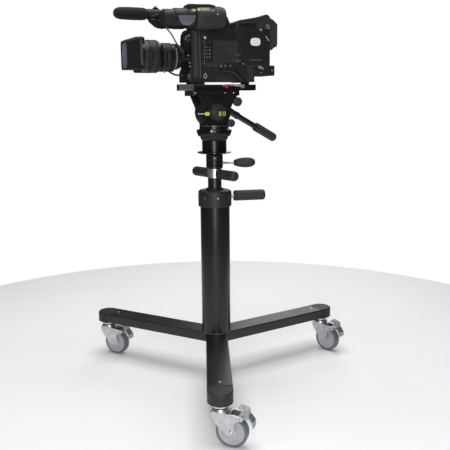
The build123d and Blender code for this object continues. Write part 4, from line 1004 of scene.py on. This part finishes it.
def build_right_side():
    """Cassette door, vents, connectors and card cover on the side away from the controls."""
    face = -SHELL_SIDE
    door = side_prism([(84, 1132), (84, 1250), (74, 1258), (-96, 1258), (-104, 1250), (-104, 1132),
        (-96, 1126), (76, 1126)],
                      face - 1.6, 2.2)
    piece("cassette_door", door, "door_plastic", bevel=1.0)
    piece("cassette_window", side_prism([(58, 1170), (58, 1226), (-6, 1226), (-6, 1170)], face - 2.2, 1.2),
        "gloss_black", bevel=0.6)
    slots = [(-36 - 5 * k, -33.4 - 5 * k, 1176, 1236, -2.4, -1) for k in range(12)]
    side_blocks("right_vents", slots, "molded_black", face=face, bevel=0.5)
    cover = [(-178, -116, 1122, 1200, -1.8, 0.4)]
    side_blocks("connector_cover", cover, "camera_plastic", face=face, bevel=1.4, segments=3)
    sockets = bmesh.new()
    for u, z in ((-130, 1182), (-130, 1160), (-130, 1138), (-160, 1178), (-160, 1150)):
        spot = turn(IN, (face - 1.6, -u, z))
        lathe([(0, 0.6), (4, 0.6), (4, 3.4), (5, 4.6), (7.4, 4.6), (8.4, 3.6), (8.4, -0.4), (0, -0.4)], spot,
            36, shape=sockets)
    piece("round_sockets", sockets, "steel", sharp=30)
    heads = [(face, y, z) for y in (-92, 112, 180) for z in (1104, 1262)]
    piece("right_screws", studs(heads, IN, 2.3, 0.9, True), "steel")
    pull = [(62, 78, 1180, 1214, -3.4, -1.2)]
    side_blocks("cassette_pull", pull, "molded_black", face=face, bevel=1.1, segments=3)


def build_shoulder_pad():
    """Thick rubber-foam pad that fills the shoulder arch, with a crowned, recessed left face."""
    arch_y, arch_z, outer, floor_height = 30.0, 1066.0, 66.6, 26.4
    recess_edge, rim_x, recess_x, right_x = 57.6, 57.2, 34.0, -51.4
    start = asin(floor_height / outer) + 0.015
    steps = 30
    left, right = [], []
    pad = bmesh.new()
    for k in range(steps + 1):
        angle = start + (pi - 2 * start) * k / steps
        bottom = floor_height / sin(angle)
        inner = max(recess_edge, bottom + 0.15)
        stations = [(bottom + (inner - bottom) * j / 6,
            recess_x + 4.5 * (1 - (j / 6) ** 2)) for j in range(7)]
        stations += [(inner + 0.6, rim_x - 1.6), (inner + 2.2, rim_x), (max(outer - 2, inner + 3), rim_x),
            (outer, rim_x - 1.6)]
        stations = [(min(r, outer), x) for r, x in stations]
        way = (cos(angle), sin(angle))
        left.append([pad.verts.new(Vector((x, arch_y + r * way[0], arch_z + r * way[1])) * MM) for r,
            x in stations])
        right.append([pad.verts.new(Vector((right_x, arch_y + r * way[0], arch_z + r * way[1])) * MM) for r,
            _ in stations])
    loops = []
    for sheet in (left, right):
        fill(pad, sheet)
        loop = [row[0] for row in sheet] + sheet[-1][1:]
        loops.append(loop + [row[-1] for row in sheet[-2::-1]] + sheet[0][-2:0:-1])
    bridge(pad, *loops)
    made = piece("shoulder_cushion", pad, "grip_rubber", replaces=("shoulder_pad",), sharp=60)


materials = make_materials()
add_camera()
add_cord("mic_cable", MIC_CABLE_ROUTE, 2.5, materials["grip_rubber"])
add_cord("lens_cable", LENS_CABLE_ROUTE, 3.0, materials["grip_rubber"])
add_stage()
finish_cad_nodes()
build_base()
build_handles()
build_pan_bar()
build_head()
build_plate()
build_lens()
build_microphone()
build_viewfinder()
build_left_side()
build_rear_side()
build_front_and_top()
build_right_side()
build_shoulder_pad()
